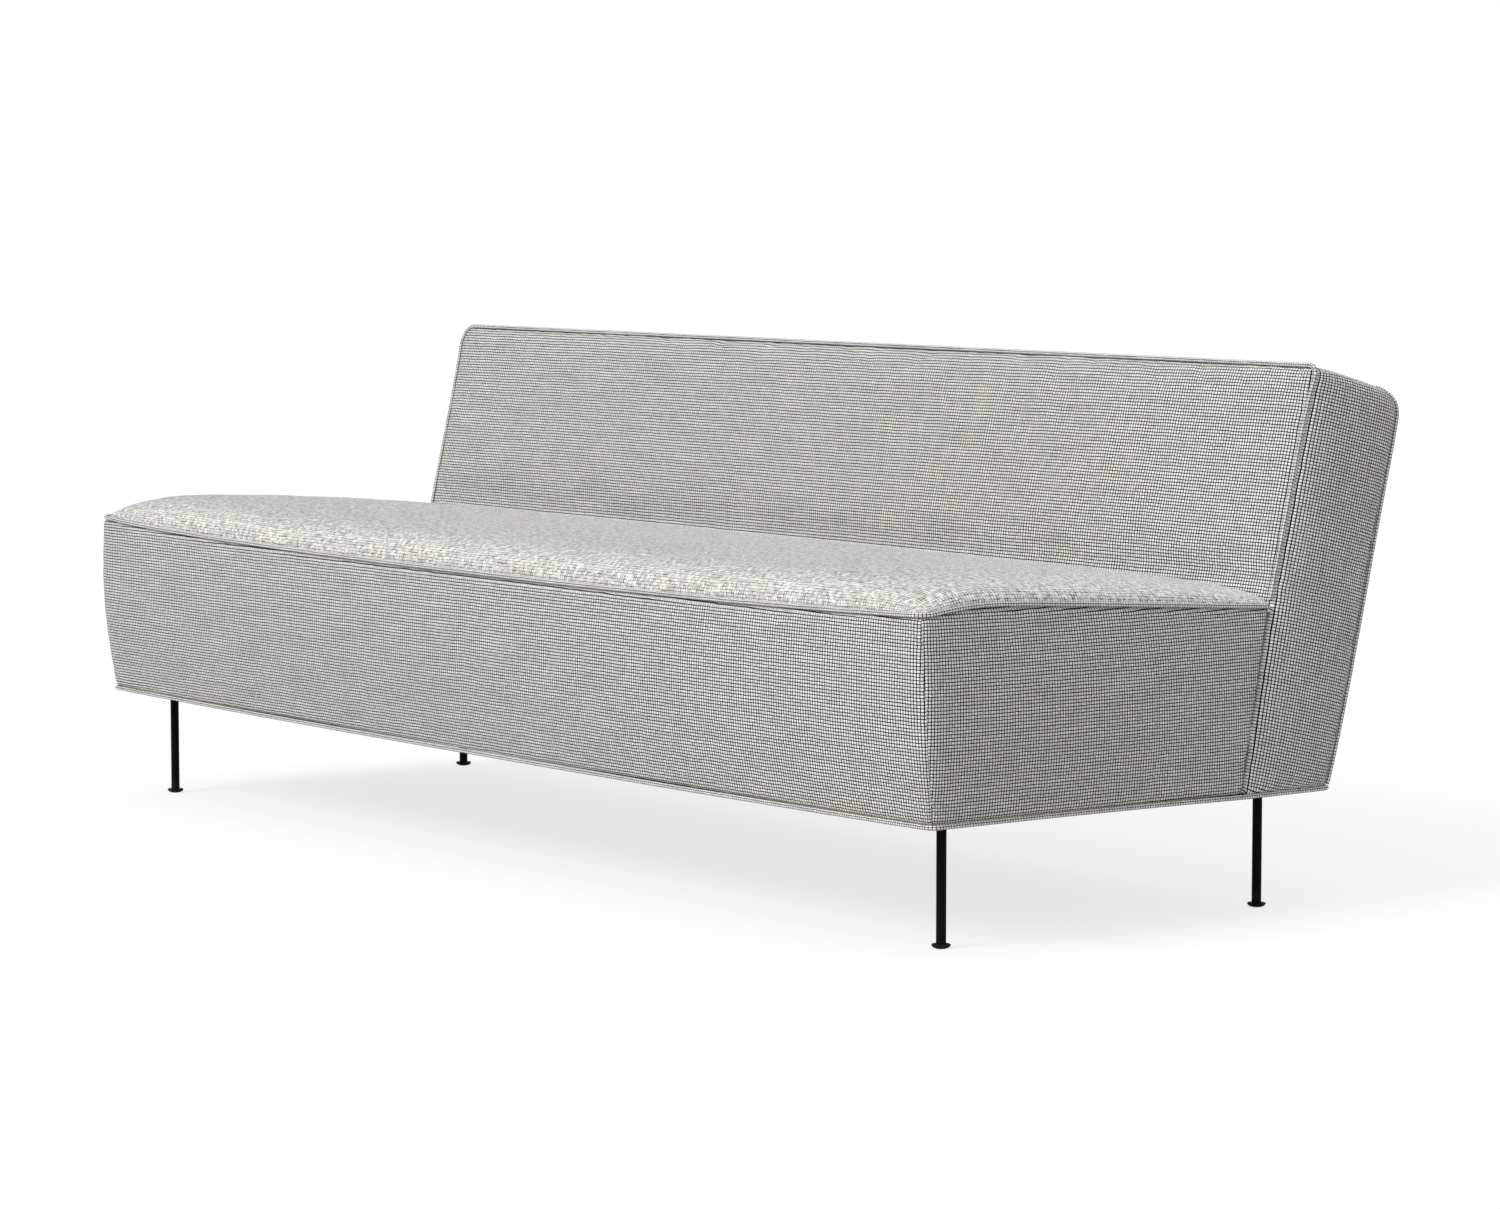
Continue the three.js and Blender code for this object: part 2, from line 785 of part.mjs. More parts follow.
// A serpentine spring: straight bars joined by half turns, arched over the frame
function serpentineSpring(x) {
  const pitch = (springRear - springFront) / (springBars - 1);
  const turnRadius = pitch / 2;
  const barHalf = springWidth / 2 - turnRadius;
  const path = [];
  for (let bar = 0; bar < springBars; bar += 1) {
    const side = bar % 2 === 0 ? 1 : -1;
    path.push([-side * barHalf, bar * pitch], [side * barHalf, bar * pitch]);
    if (bar + 1 < springBars) {
      const reach = side * (barHalf + turnRadius * Math.sin(Math.PI / 3));
      path.push([reach, bar * pitch + turnRadius * (1 - Math.cos(Math.PI / 3))]);
      path.push([reach, bar * pitch + turnRadius * (1 + Math.cos(Math.PI / 3))]);
    }
  }
  const stations = path.map(([across, along]) => {
    const lift = springLift(springFront + along);
    return new THREE.Vector3(x + across, springFront + along, springFoot + lift);
  });
  return tube(stations, springWireRadius, wireSides, false);
}

// A batten that clamps one row of spring ends to its rail
function springBatten(y) {
  const low = [-frameHalf, y - battenWidth / 2, battenFoot];
  const high = [frameHalf, y + battenWidth / 2, battenTop];
  return boxBetween(low, high);
}

// Felt laid over the springs, arched as they are
function deckFelt() {
  const lower = [];
  for (let step = 0; step <= feltSteps; step += 1) {
    const share = step / feltSteps;
    const y = frameFront + (frameRear - frameFront) * share;
    lower.push([y, feltEdge + (feltCrest - feltEdge) * Math.sin(Math.PI * share)]);
  }
  const upper = lower.map(([y, z]) => [y, z + feltThickness]).reverse();
  return alongX([...lower, ...upper], 0, 2 * frameHalf);
}

// Takes away from a form of the back all that lies in front of, behind or below a layer
function backLayer(inset, front, rear) {
  const wide = halfLength + farClear;
  const tall = slabHeight + farClear;
  const ahead = slabBox([-wide, -farClear, -farClear], [wide, front, tall]);
  const behind = slabBox([-wide, rear, -farClear], [wide, rear + farClear, tall]);
  const below = boxBetween(
    [-wide, jointFootY - farClear, baseHeight - farClear],
    [wide, rearFootY + farClear, sillTop + touchGap]
  );
  const form = backForm(inset, 0).subtract(solidOf(below));
  const cutAhead = front > 0 ? form.subtract(solidOf(ahead)) : form;
  return cutAhead.subtract(solidOf(behind));
}

// Foam that the sitter leans on
function backFrontFoam() {
  return geometryOf(backLayer(foamInset, 0, foamInset + backFoamDepth));
}

// Thin padding between the frame and the rear of the cover
function backRearPad() {
  return geometryOf(backLayer(foamInset, backFrameRear + touchGap, farClear));
}

// Foam border round the top and the ends of the back frame
function backBorderFoam() {
  const layer = backLayer(foamInset, foamInset + backFoamDepth + touchGap, backFrameRear);
  const clear = backFrameHalf + touchGap;
  const hole = slabBox([-clear, 0, -farClear], [clear, farClear, backFrameTop + touchGap]);
  return geometryOf(layer.subtract(solidOf(hole)));
}

// The sill of the back, a board bored for the studs of the rear legs
function backSill() {
  const front = slabY(foamInset, sillTop) + sillClearance;
  const rear = rearFootY - foamInset - sillClearance;
  const outline = cutRectangle(0, (front + rear) / 2, 2 * backFrameHalf, rear - front, studRadius);
  const radius = studRadius + studClearance;
  const bores = [-1, 1].map((side) => ({ x: side * legX, y: rearLegY, radius }));
  return plateWithHoles(outline, bores, baseHeight, sillHeight);
}

// An upright of the back, cut level where it stands on the sill
function backStile(x) {
  const foot = sillTop + touchGap;
  const top = backFrameTop - topRailHeight - touchGap;
  const frontTop = slabPoint(0, backFrameFront, top);
  const rearTop = slabPoint(0, backFrameRear, top);
  const profile = [
    [slabY(backFrameFront, foot), foot],
    [slabY(backFrameRear, foot), foot],
    [rearTop.y, rearTop.z],
    [frontTop.y, frontTop.z],
  ];
  return alongX(profile, x, stileWidth);
}

// The rail along the top of the back frame
function backTopRail() {
  const low = [-backFrameHalf, backFrameFront, backFrameTop - topRailHeight];
  return slabBox(low, [backFrameHalf, backFrameRear, backFrameTop]);
}

// A webbing strap stretched from the sill to the face of the top rail
function webbingStrap(x) {
  const foot = sillTop + touchGap;
  const frontTop = slabPoint(0, strapFront, backFrameTop);
  const rearTop = slabPoint(0, strapFront + strapThickness, backFrameTop);
  const profile = [
    [slabY(strapFront, foot), foot],
    [slabY(strapFront + strapThickness, foot), foot],
    [rearTop.y, rearTop.z],
    [frontTop.y, frontTop.z],
  ];
  return alongX(profile, x, strapWidth);
}

// A steel rod leg with a blind bore below for its glide and a stud above
function legRod(x, y) {
  const foot = glideHeight + touchGap;
  const shoulder = plateBottom - touchGap;
  const boreTop = foot + glideSpigotLength;
  const bore = glideSpigotRadius + studClearance;
  const profile = [
    [0, boreTop],
    [bore, boreTop],
    [bore, foot],
    [legRadius - legChamfer, foot],
    [legRadius, foot + legChamfer],
    [legRadius, shoulder],
    [studRadius, shoulder],
    [studRadius, plateTop + studLength],
    [0, plateTop + studLength],
  ];
  return turned(profile, x, y);
}

// A button glide: a small flat foot that widens to a rounded rim, with a spigot into the rod
function legGlide(x, y) {
  const belly = (glideFlatRadius + glideRadius) / 2;
  const [low, middle, widest, brow] = glideRimShares.map((share) => share * glideHeight);
  const profile = [
    [0, 0],
    [glideFlatRadius, 0],
    [belly + legChamfer, low],
    [glideRadius - legChamfer, middle],
    [glideRadius, widest],
    [glideRadius - legChamfer, brow],
    [belly, glideHeight],
    [glideSpigotRadius, glideHeight],
    [glideSpigotRadius, glideHeight + glideSpigotLength],
    [0, glideHeight + glideSpigotLength],
  ];
  return turned(profile, x, y);
}

// A square steel plate, bored for the stud and for four screws
function legPlate(x, y) {
  const outline = cutRectangle(x, y, plateSize, plateSize, plateCorner);
  const holes = [{ x, y, radius: studRadius + studClearance }];
  [-1, 1].forEach((across) => {
    [-1, 1].forEach((along) => {
      holes.push({
        x: x + across * plateScrewReach,
        y: y + along * plateScrewReach,
        radius: plateScrewRadius,
      });
    });
  });
  return plateWithHoles(outline, holes, plateBottom, plateThickness);
}

// A flat steel bar across the joint, which holds the back frame to the seat frame
function joiningBar(x) {
  const y = (springRear + slabY(foamInset, sillTop) + railThickness / 2) / 2;
  const outline = cutRectangle(x, y, barWidth, barLength, barHoleRadius);
  const reach = barLength / 2 - barHoleInset;
  const holes = [-reach, reach].map((along) => ({ x, y: y + along, radius: barHoleRadius }));
  return plateWithHoles(outline, holes, plateBottom, plateThickness);
}

// Dust cloth stretched under both frames, inside the base welt, with holes for the legs
function dustCover() {
  const inset = baseWeltInset + weltRadius + touchGap;
  const radius = legRadius + dustCoverHoleClearance;
  const holes = legPlaces().map(({ x, y }) => ({ x, y, radius }));
  const foot = dustCoverTop - dustCoverThickness;
  return plateWithHoles(basePlan(inset), holes, foot, dustCoverThickness);
}

// The four legs, by name and place
function legPlaces() {
  return [
    { name: "front_left", x: -legX, y: frontLegY },
    { name: "front_right", x: legX, y: frontLegY },
    { name: "rear_left", x: -legX, y: rearLegY },
    { name: "rear_right", x: legX, y: rearLegY },
  ];
}

const sofa = new THREE.Group();

// Finishes of the pieces
const materials = {
  weave: new THREE.MeshStandardMaterial({ color: 0xb7b4ac, roughness: 0.95, metalness: 0 }),
  welt: new THREE.MeshStandardMaterial({ color: 0xa5a29b, roughness: 0.95, metalness: 0 }),
  foam: new THREE.MeshStandardMaterial({ color: 0xe9dfb4, roughness: 1, metalness: 0 }),
  felt: new THREE.MeshStandardMaterial({ color: 0x8a8a86, roughness: 1, metalness: 0 }),
  timber: new THREE.MeshStandardMaterial({ color: 0xc79f6a, roughness: 0.7, metalness: 0 }),
  springSteel: new THREE.MeshStandardMaterial({ color: 0x9a9ca0, roughness: 0.4, metalness: 1 }),
  webbing: new THREE.MeshStandardMaterial({ color: 0x2e2c29, roughness: 0.9, metalness: 0 }),
  blackSteel: new THREE.MeshStandardMaterial({ color: 0x14171b, roughness: 0.45, metalness: 0.6 }),
  dustCloth: new THREE.MeshStandardMaterial({ color: 0x1c1c1c, roughness: 1, metalness: 0 }),
};

// Puts one named piece into the sofa
function place(name, geometry, finish) {
  const mesh = new THREE.Mesh(geometry, finish.clone());
  mesh.name = name;
  sofa.add(mesh);
}

place("seat_cover", seatCover(), materials.weave);
place("seat_top_welt", seatTopWelt(), materials.welt);
place("seat_foam", seatFoam(), materials.foam);
place("seat_border_foam", seatBorderFoam(), materials.foam);
seatFrame();
place("front_left_block", cornerBlock(-1), materials.timber);
place("front_right_block", cornerBlock(1), materials.timber);
sharedOut(2 * (frameHalf - railThickness), springCount).forEach((x, n) => {
  place(`seat_spring_${n + 1}`, serpentineSpring(x), materials.springSteel);
});
place("spring_batten_front", springBatten(springFront), materials.timber);
place("spring_batten_rear", springBatten(springRear), materials.timber);
place("deck_felt", deckFelt(), materials.felt);

place("back_cover", backCover(), materials.weave);
place("back_front_welt", backWelt(false), materials.welt);
place("back_rear_welt", backWelt(true), materials.welt);
place("back_front_foam", backFrontFoam(), materials.foam);
place("back_border_foam", backBorderFoam(), materials.foam);
place("back_rear_pad", backRearPad(), materials.foam);
place("back_sill", backSill(), materials.timber);
place("back_top_rail", backTopRail(), materials.timber);
place("back_left_stile", backStile(-stileReach), materials.timber);
place("back_left_mid_stile", backStile(-midStileShare * stileReach), materials.timber);
place("back_right_mid_stile", backStile(midStileShare * stileReach), materials.timber);
place("back_right_stile", backStile(stileReach), materials.timber);
sharedOut(2 * (backFrameHalf - stileWidth), strapCount).forEach((x, n) => {
  place(`back_strap_${n + 1}`, webbingStrap(x), materials.webbing);
});

place("base_welt", baseWelt(), materials.welt);
place("dust_cover", dustCover(), materials.dustCloth);
legPlaces().forEach(({ name, x, y }) => {
  place(`leg_plate_${name}`, legPlate(x, y), materials.blackSteel);
  place(`leg_rod_${name}`, legRod(x, y), materials.blackSteel);
  place(`leg_glide_${name}`, legGlide(x, y), materials.blackSteel);
});
["left", "centre", "right"].forEach((side, n) => {
  place(`joining_bar_${side}`, joiningBar((n - 1) * barReachShare * stileReach), materials.blackSteel);
});

sofa.updateMatrixWorld(true);
const bounds = new THREE.Box3().setFromObject(sofa);
sofa.position.y = -(bounds.min.y + bounds.max.y) / 2;

export default sofa;
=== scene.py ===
# %% [markdown]
# # An armless sofa, dressed in its weave
#
# The solids of the sofa come in first and stay where they are. Everything soft that
# shows is then built over them: two stuffed covers, four welts and the cloth below.
# X runs along the sofa, +Z is up, the front faces -Y, and every length is in metres.

# %% Load the solid sofa
import sys
import json
import math

import bmesh
import bpy
import numpy as np
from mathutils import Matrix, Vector
from mathutils.geometry import delaunay_2d_cdt
from mathutils.kdtree import KDTree


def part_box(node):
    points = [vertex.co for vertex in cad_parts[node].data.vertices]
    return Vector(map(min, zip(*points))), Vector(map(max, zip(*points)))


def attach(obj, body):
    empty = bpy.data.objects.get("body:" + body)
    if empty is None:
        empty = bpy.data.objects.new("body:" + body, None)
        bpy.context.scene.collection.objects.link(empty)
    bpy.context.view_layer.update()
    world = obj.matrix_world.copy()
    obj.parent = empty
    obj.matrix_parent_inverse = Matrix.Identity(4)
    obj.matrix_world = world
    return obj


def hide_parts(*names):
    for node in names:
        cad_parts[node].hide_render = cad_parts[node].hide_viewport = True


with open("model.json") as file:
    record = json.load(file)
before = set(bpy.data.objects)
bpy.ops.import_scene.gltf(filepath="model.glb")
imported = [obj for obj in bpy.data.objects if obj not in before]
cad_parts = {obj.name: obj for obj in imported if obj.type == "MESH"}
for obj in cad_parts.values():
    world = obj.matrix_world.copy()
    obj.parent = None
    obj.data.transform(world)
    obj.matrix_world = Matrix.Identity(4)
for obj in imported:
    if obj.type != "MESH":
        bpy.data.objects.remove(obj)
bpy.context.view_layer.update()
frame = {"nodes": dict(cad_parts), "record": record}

# %% [markdown]
# ## Camera
#
# A camera could be placed by eye, but a few pixels of error would show against the
# long straight seams. So its place and lens are worked out from the perspective of
# the box: a long lens, turned 52.3 degrees from the front and looking slightly down.

# %% Camera
sensor_width = 36.0
frame_width = 1500.0
focal_pixels = 4676.0
camera_place = (5.412, -4.0876, 0.981)
turned_round = math.radians(52.3)
looking_down = math.radians(5.33)
lens_data = bpy.data.cameras.new("camera")
lens_data.sensor_fit = "HORIZONTAL"
lens_data.sensor_width = sensor_width
lens_data.lens = sensor_width * focal_pixels / frame_width
camera = bpy.data.objects.new("camera", lens_data)
camera.location = camera_place
camera.rotation_euler = (math.pi / 2 - looking_down, 0.0, turned_round)
bpy.context.scene.collection.objects.link(camera)
bpy.context.scene.camera = camera
print("lens", round(lens_data.lens, 1), "mm")

# %% [markdown]
# ## The sofa's sizes
#
# The covers are swelled boxes, so a handful of lengths and a few curves give their
# whole form. The same sizes shape the solids below, which keeps every seam of the
# cover over the edge that it belongs to. Y is counted from the front seam here, and
# the place of a leg in the solid model says where that seam is.

# %% Sizes
half_length = 1.0
base_z = 0.165
front_seam_z = 0.430
rear_seam_z = 0.406
front_rake = 0.019
seat_depth = 0.526
back_z = 0.719
lean = math.radians(13.7)
back_top_depth = 0.143
back_foot_depth = 0.155
seat_corner = 0.014
seat_crown = 0.050
seam_gap = 0.0006
leg_inset = 0.085
leg_low, leg_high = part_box("leg_rod_front_right")
front_y = (leg_low.y + leg_high.y) / 2 - leg_inset
joint_foot_y = front_rake + seat_depth
slab_height = (back_z - base_z) / math.cos(lean)
clear_of_seat = (rear_seam_z + seat_crown - base_z) / math.cos(lean)
print("front seam at y", round(front_y, 4))


def placed(points):
    """Moves points from the front seam's own Y to the sofa's."""
    return np.asarray(points, float) + (0.0, front_y, 0.0)


# %% [markdown]
# ## Curves of a stuffed cover
#
# Foam under a tight cover makes a crown: nearly flat in the middle, rolling down
# steeply to each seam. One minus a high power gives that shape, and a root makes the
# roll rounder. Seams between two corners are drawn in by the pull of the cloth, which
# half a sine wave describes well, and the end seams climb quickly behind the front
# corners. Walls puff out beside a seam within a few millimetres, so that a welt lies
# nearly flush between them. In every curve, u runs from -1 at the left end to 1 at the
# right end, and v from 0 at the front to 1 at the rear.

# %% Curves
soft_power = 4
end_roll_power = 9
roll_roundness = 0.4
crown_peak = 0.3
crown_rear_share = 0.55
seam_sag = 0.014
sag_power = 2.5
seam_rise = 0.017
rise_run_share = 0.12
rise_onset = 1.5
rise_power = 6
end_pull = 0.014
corner_lift = 0.0045
corner_flick = 0.005
flick_power = 14
puff_depth = 0.006
puff_run = 0.003


def roll(share, power):
    return np.maximum(1 - np.abs(share) ** power, 0) ** roll_roundness


def swell(share):
    return roll(2 * share - 1, soft_power)


def depth_roll(v):
    climb = 1 - np.minimum(v / crown_peak, 1)
    past = np.maximum(v - crown_peak, 0) / (1 - crown_peak)
    return roll(climb, soft_power) * (1 - (1 - crown_rear_share) * past**2)


def height_share(z):
    return np.clip((z - base_z) / (back_z - base_z), 0, 1)


def end_draw(z, rear=False):
    """How far the ends are drawn in at a height: less at the rear edge of the back,
    and at its front edge quickly below the top corner."""
    share = height_share(z)
    arc = np.sin(np.pi * share)
    return end_pull * (0.5 * arc if rear else np.where(share > 0.5, swell(share), arc))


def joint_y(z):
    return joint_foot_y + (z - base_z) * math.tan(lean)


def seat_seam_z(u, v):
    """Height of the top seam. The left front corner is flicked up a little more."""
    front = front_seam_z - seam_sag * (1 - np.abs(u) ** sag_power)
    climb = 1 - np.exp(-((np.maximum(v, 0) / rise_run_share) ** rise_onset))
    rise = seam_rise * climb * (1 - v) * np.abs(u) ** rise_power
    flick = corner_flick * np.where(u < 0, np.abs(u) ** flick_power, 0) * (1 - v) ** rise_power
    return front * (1 - v) + rear_seam_z * v + rise + flick


def foot_lift(u, v):
    """The foot of the cover is pulled up a little towards the front corners."""
    return corner_lift * np.abs(u) ** sag_power * (1 - np.clip(v, 0, 1) ** 2)


def puff(distance, depth=puff_depth, run=puff_run):
    """How far the filled cloth stands out at a distance from its seam."""
    return depth * (1 - np.exp(-((distance / run) ** 2)))


print("crown over the seat's middle", round(float(seat_crown * depth_roll(0.5)), 4))

# %% [markdown]
# ## Rounded corners
#
# The plan of the seat is a rectangle with small round corners. A grid of rows and
# columns can still cover it: each square corner of the grid is squeezed onto a
# quarter disc, so that the mesh stays all quads and a seam can run down the corner.

# %% Corner rounding
def round_corner(a, b, radius):
    inside = (a > 0) & (b > 0)
    two_squares = 2 * radius * radius
    squeezed_a = a * np.sqrt(np.maximum(1 - b * b / two_squares, 0))
    squeezed_b = b * np.sqrt(np.maximum(1 - a * a / two_squares, 0))
    return np.where(inside, squeezed_a, a), np.where(inside, squeezed_b, b)


def round_front(x, y, radius):
    beyond = np.abs(x) - (half_length - radius)
    across, along = round_corner(beyond, radius - y, radius)
    round_x = np.sign(x) * (half_length - radius + across)
    return np.where(beyond > 0, round_x, x), np.where(beyond > 0, radius - along, y)


def row_place(share, depth, radius):
    """Rows below 0 cross the round corner, and rows from 0 to 1 the straight part."""
    corner = radius * (1 + share)
    return np.where(share < 0, corner, radius + share * (depth - radius))


def column_place(share, radius):
    """Columns beyond 1 either way cross the round corner."""
    size = np.abs(share)
    straight = half_length - radius
    beyond = straight + radius * (size - 1)
    return np.sign(share) * np.where(size > 1, beyond, size * straight)


# %% [markdown]
# ## Seat surfaces
#
# The seat cover is sewn from a top, a front and two ends. Each is written as a
# function of two shares, so that any number of rows and columns can be drawn from it.
# Neighbouring panels use the same edge points, and so they meet exactly.

# %% Seat surfaces
front_bow = 0.006
draw_power = 1.5
wall_swell = 0.006
front_extra_swell = 0.005
end_extra_swell = 0.003


def seat_top_point(column, row):
    x = column_place(column, seat_corner)
    u = x / half_length
    rear_z = rear_seam_z + crown_rear_share * seat_crown * roll(u, end_roll_power)
    depth = joint_y(rear_z) - seam_gap
    y = row_place(row, depth, seat_corner)
    v = y / depth
    px, py = round_front(x, y, seat_corner)
    px = px * (1 - end_draw(rear_seam_z) * v**draw_power / half_length)
    py = py + front_bow * (1 - np.abs(u) ** soft_power) * (1 - v) ** 3
    pz = seat_seam_z(u, v) + seat_crown * roll(u, end_roll_power) * depth_roll(v)
    return px, py, pz


def seat_foot_point(column, row):
    x = column_place(column, seat_corner)
    y = row_place(row, seat_depth - seam_gap, seat_corner)
    px, py = round_front(x, y, seat_corner)
    return px, front_rake + py, base_z + foot_lift(px / half_length, py / seat_depth)


def seat_wall_point(column, row, fall):
    """fall counts from the top seam, 0, to the foot, 1."""
    top = np.array(seat_top_point(column, row))
    foot = np.array(seat_foot_point(column, row))
    x, y, z = top + (foot - top) * fall
    arch = np.sin(np.pi * fall)
    u = column_place(column, seat_corner) / half_length
    v = (foot[1] - front_rake) / seat_depth
    puffed = puff(fall * (front_seam_z - base_z))
    outward = puffed + (wall_swell + end_extra_swell * swell(v)) * (1 - v**soft_power) * arch
    forward = puffed + (wall_swell + front_extra_swell * roll(u, end_roll_power)) * arch
    outward = outward * np.clip(np.abs(column) - 1, 0, 1)
    return x + np.sign(x) * outward, y - forward * np.clip(-row, 0, 1), z


def seat_floor_point(column, row):
    return seat_wall_point(column, row, np.ones_like(column))


def seat_wall_at(row):
    """The front wall is at row -1 and the rear wall at row 1."""
    return lambda column, fall: seat_wall_point(column, np.full_like(column, row), fall)


# %% [markdown]
# ## Back surfaces
#
# The back is a slab that leans away from the seat. It is easiest to place in its own
# two directions: along the slab from its foot to its top, and through it from front
# to rear. A long strip goes up one end, over the top and down the other end. Its top
# corners are rounder at the left and at the rear, where the cloth is pulled harder.

# %% Back surfaces
front_swell = 0.010
rear_swell = 0.018
end_swell = 0.013
top_swell = 0.002
rear_seam_bow = 0.014
rear_foot_tuck = 0.0025
face_puff = 0.0025
front_puff_run = 0.002
rear_puff_run = 0.006
top_puff_share = 0.25
foot_tuck_power = 8
back_corner_right = 0.015
back_corner_left = 0.033
back_corner_rear = 0.036


def slab_point(x, through, along):
    y = joint_foot_y + through * math.cos(lean) + along * math.sin(lean)
    z = base_z - through * math.sin(lean) + along * math.cos(lean)
    return x, y, z


def back_face_point(column, row, rear=False):
    """row counts from the foot: 0 to 1 is straight, and 1 to 2 crosses the top corner."""
    towards_right = 0.5 + np.clip(column, -1, 1) / 2
    front_corner = back_corner_left + (back_corner_right - back_corner_left) * towards_right
    corner = back_corner_rear if rear else front_corner
    x = column_place(column, corner)
    straight = slab_height - corner
    along = np.where(row > 1, straight + corner * (row - 1), row * straight)
    px, from_top = round_front(x, slab_height - along, corner)
    height = slab_height - from_top
    share = height / slab_height
    foot_depth = back_foot_depth * math.cos(lean)
    depth = foot_depth + (back_top_depth - foot_depth) * share
    clear = np.clip((along - clear_of_seat) / (slab_height - clear_of_seat), 0, 1)
    crossing = roll(x / half_length, end_roll_power)
    forward = front_swell * crossing * swell(clear)
    seam_bow = rear_seam_bow * swell(share**2)
    seam_bow -= rear_foot_tuck * (1 - share) ** foot_tuck_power
    backward = crossing * rear_swell * swell(along / slab_height) + (1 - crossing) * seam_bow
    from_seam = np.minimum(half_length - np.abs(x), slab_height - along)
    puffed = puff(np.maximum(from_seam, 0), face_puff)
    through = depth + backward + puffed if rear else -forward - puffed
    levelling = through * math.tan(lean) * (1 - share)
    px, py, pz = slab_point(px, through, height + levelling)
    return px * (1 - end_draw(pz, rear) / half_length), py, pz


def back_rear_point(column, row):
    return back_face_point(column, row, rear=True)


def back_edge_point(column, row, across):
    """across counts from the front face, 0, to the rear face, 1."""
    front = np.array(back_face_point(column, row))
    rear = np.array(back_rear_point(column, row))
    x, y, z = front + (rear - front) * across
    arch = 1 - (2 * across - 1) ** soft_power
    puffed = puff(across * back_top_depth, 1.0, front_puff_run)
    puffed = puffed * puff((1 - across) * back_top_depth, puff_depth, rear_puff_run)
    outward = puffed + end_swell * swell(height_share(z)) * arch
    outward = outward * np.clip(np.abs(column) - 1, 0, 1)
    upward = (top_puff_share * puffed + top_swell * arch) * np.clip(row - 1, 0, 1)
    y = y + upward * math.sin(lean)
    z = z + upward * math.cos(lean)
    return x + np.sign(x) * outward, y, z


# %% [markdown]
# ## From surfaces to cloth panels
#
# A panel could be a plane that is then sculpted, but drawing its grid straight from
# the surface keeps rows and columns where a tailor would want them: along the threads.
# Each panel also gets its own UV map in metres, measured along the cloth, so that the
# weave stays true to size and runs square to the seams. Two numbers on each point
# say how firmly it is held, 1 on a seam and 0 out in the panel, and whether the weave
# there is painted paler, as on the seat's top. That painted paleness stands in for the
# raised dots that hide the dark ground when the top is seen at a flat angle.

# %% A new piece
def new_piece(name, points, faces, uvs=None, smooth=True):
    """Makes a mesh and its object, with a UV map in metres if the piece is woven."""
    mesh = bpy.data.meshes.new(name)
    mesh.from_pydata([tuple(point) for point in points], [], faces)
    if uvs:
        cloth_map = mesh.uv_layers.new(name="Cloth")
        cloth_map.data.foreach_set("uv", np.array(uvs, np.float32).reshape(-1))
    if smooth:
        mesh.shade_smooth()
    piece = bpy.data.objects.new(name, mesh)
    bpy.context.scene.collection.objects.link(piece)
    return piece


# %% Cloth panels
thread_pitch = 0.0044
weld_distance = 2e-5


def measured(points):
    """How far each point lies along a row of points."""
    steps = np.linalg.norm(np.diff(points, axis=0), axis=1)
    return np.concatenate([[0.0], np.cumsum(steps)])


def straight_threads(grid, rise):
    """Distances along and across a panel whose threads run straight whatever its seams
    do: across is counted along rise, and along follows the middle of the panel."""
    across = grid @ rise
    level = grid - across[..., None] * rise
    across -= across[:, 0].mean()
    middle = level[:, grid.shape[1] // 2]
    run = np.gradient(middle, axis=0)
    run /= np.linalg.norm(run, axis=1)[:, None]
    ahead = ((level - middle[:, None]) * run[:, None]).sum(axis=-1)
    return measured(middle)[:, None] + ahead, across


class Panels:
    """Cloth panels that are sewn into one closed piece."""

    def __init__(self):
        self.points, self.faces, self.uvs = [], [], []
        self.held, self.painted_top_paleness = [], []

    def add(self, grid, flip=False, stretch=(1.0, 1.0), rise=None, phase=0.0, hidden=False, painted_top_paleness=0.0):
        """grid is an array of columns by rows by 3."""
        columns, rows, _ = grid.shape
        start = len(self.points)
        self.points.extend(grid.reshape(-1, 3))
        if rise is None:
            u, v = measured(grid[:, rows // 2])[:, None], measured(grid[columns // 2])[None]
        else:
            u, v = straight_threads(grid, rise)
        u = np.broadcast_to((u - u.mean()) * stretch[0], (columns, rows))
        v = np.broadcast_to(v * stretch[1] + phase, (columns, rows))
        for i in range(columns - 1):
            for j in range(rows - 1):
                cell = [(i, j), (i + 1, j), (i + 1, j + 1), (i, j + 1)]
                if flip:
                    cell.reverse()
                self.faces.append([start + a * rows + b for a, b in cell])
                self.uvs.append([(u[corner], v[corner]) for corner in cell])
        held = np.full((columns, rows), 1.0 if hidden else 0.0)
        held[[0, -1], :] = 1.0
        held[:, [0, -1]] = 1.0
        self.held.extend(held.reshape(-1))
        self.painted_top_paleness.extend([painted_top_paleness] * held.size)

    def sewn(self, piece_name):
        piece = new_piece(piece_name, placed(self.points), self.faces, self.uvs)
        mesh = piece.data
        # The second number marks where the weave is painted paler.
        for name, values in (("held", self.held), ("painted_top_paleness", self.painted_top_paleness)):
            attribute = mesh.attributes.new(name, "FLOAT", "POINT")
            attribute.data.foreach_set("value", np.array(values, np.float32))
        shell = bmesh.new()
        shell.from_mesh(mesh)
        bmesh.ops.remove_doubles(shell, verts=shell.verts, dist=weld_distance)
        shell.to_mesh(mesh)
        shell.free()
        return piece


# %% Rows and columns
def spread(count, gather, low=0.0, high=1.0):
    """Shares that are gathered towards both limits, where the seams are."""
    even = np.linspace(0, 1, count)
    gathered = even - gather * np.sin(2 * np.pi * even) / (2 * np.pi)
    return low + (high - low) * gathered


def grid_of(point_at, columns, rows):
    c, r = np.meshgrid(columns, rows, indexing="ij")
    return np.stack([np.broadcast_to(p, c.shape) for p in point_at(c, r)], axis=-1)


corner_shares = np.array([0.2, 0.4, 0.6, 0.77, 0.9, 0.97, 1.0])
between = spread(161, gather=0.6, low=-1, high=1)
columns = np.concatenate([-1 - corner_shares[::-1], between, 1 + corner_shares])
seat_rows = np.concatenate([-corner_shares[::-1], spread(49, gather=0.75)])
falls = spread(31, gather=0.8)
print(len(columns), "columns and", len(seat_rows), "rows on the seat")

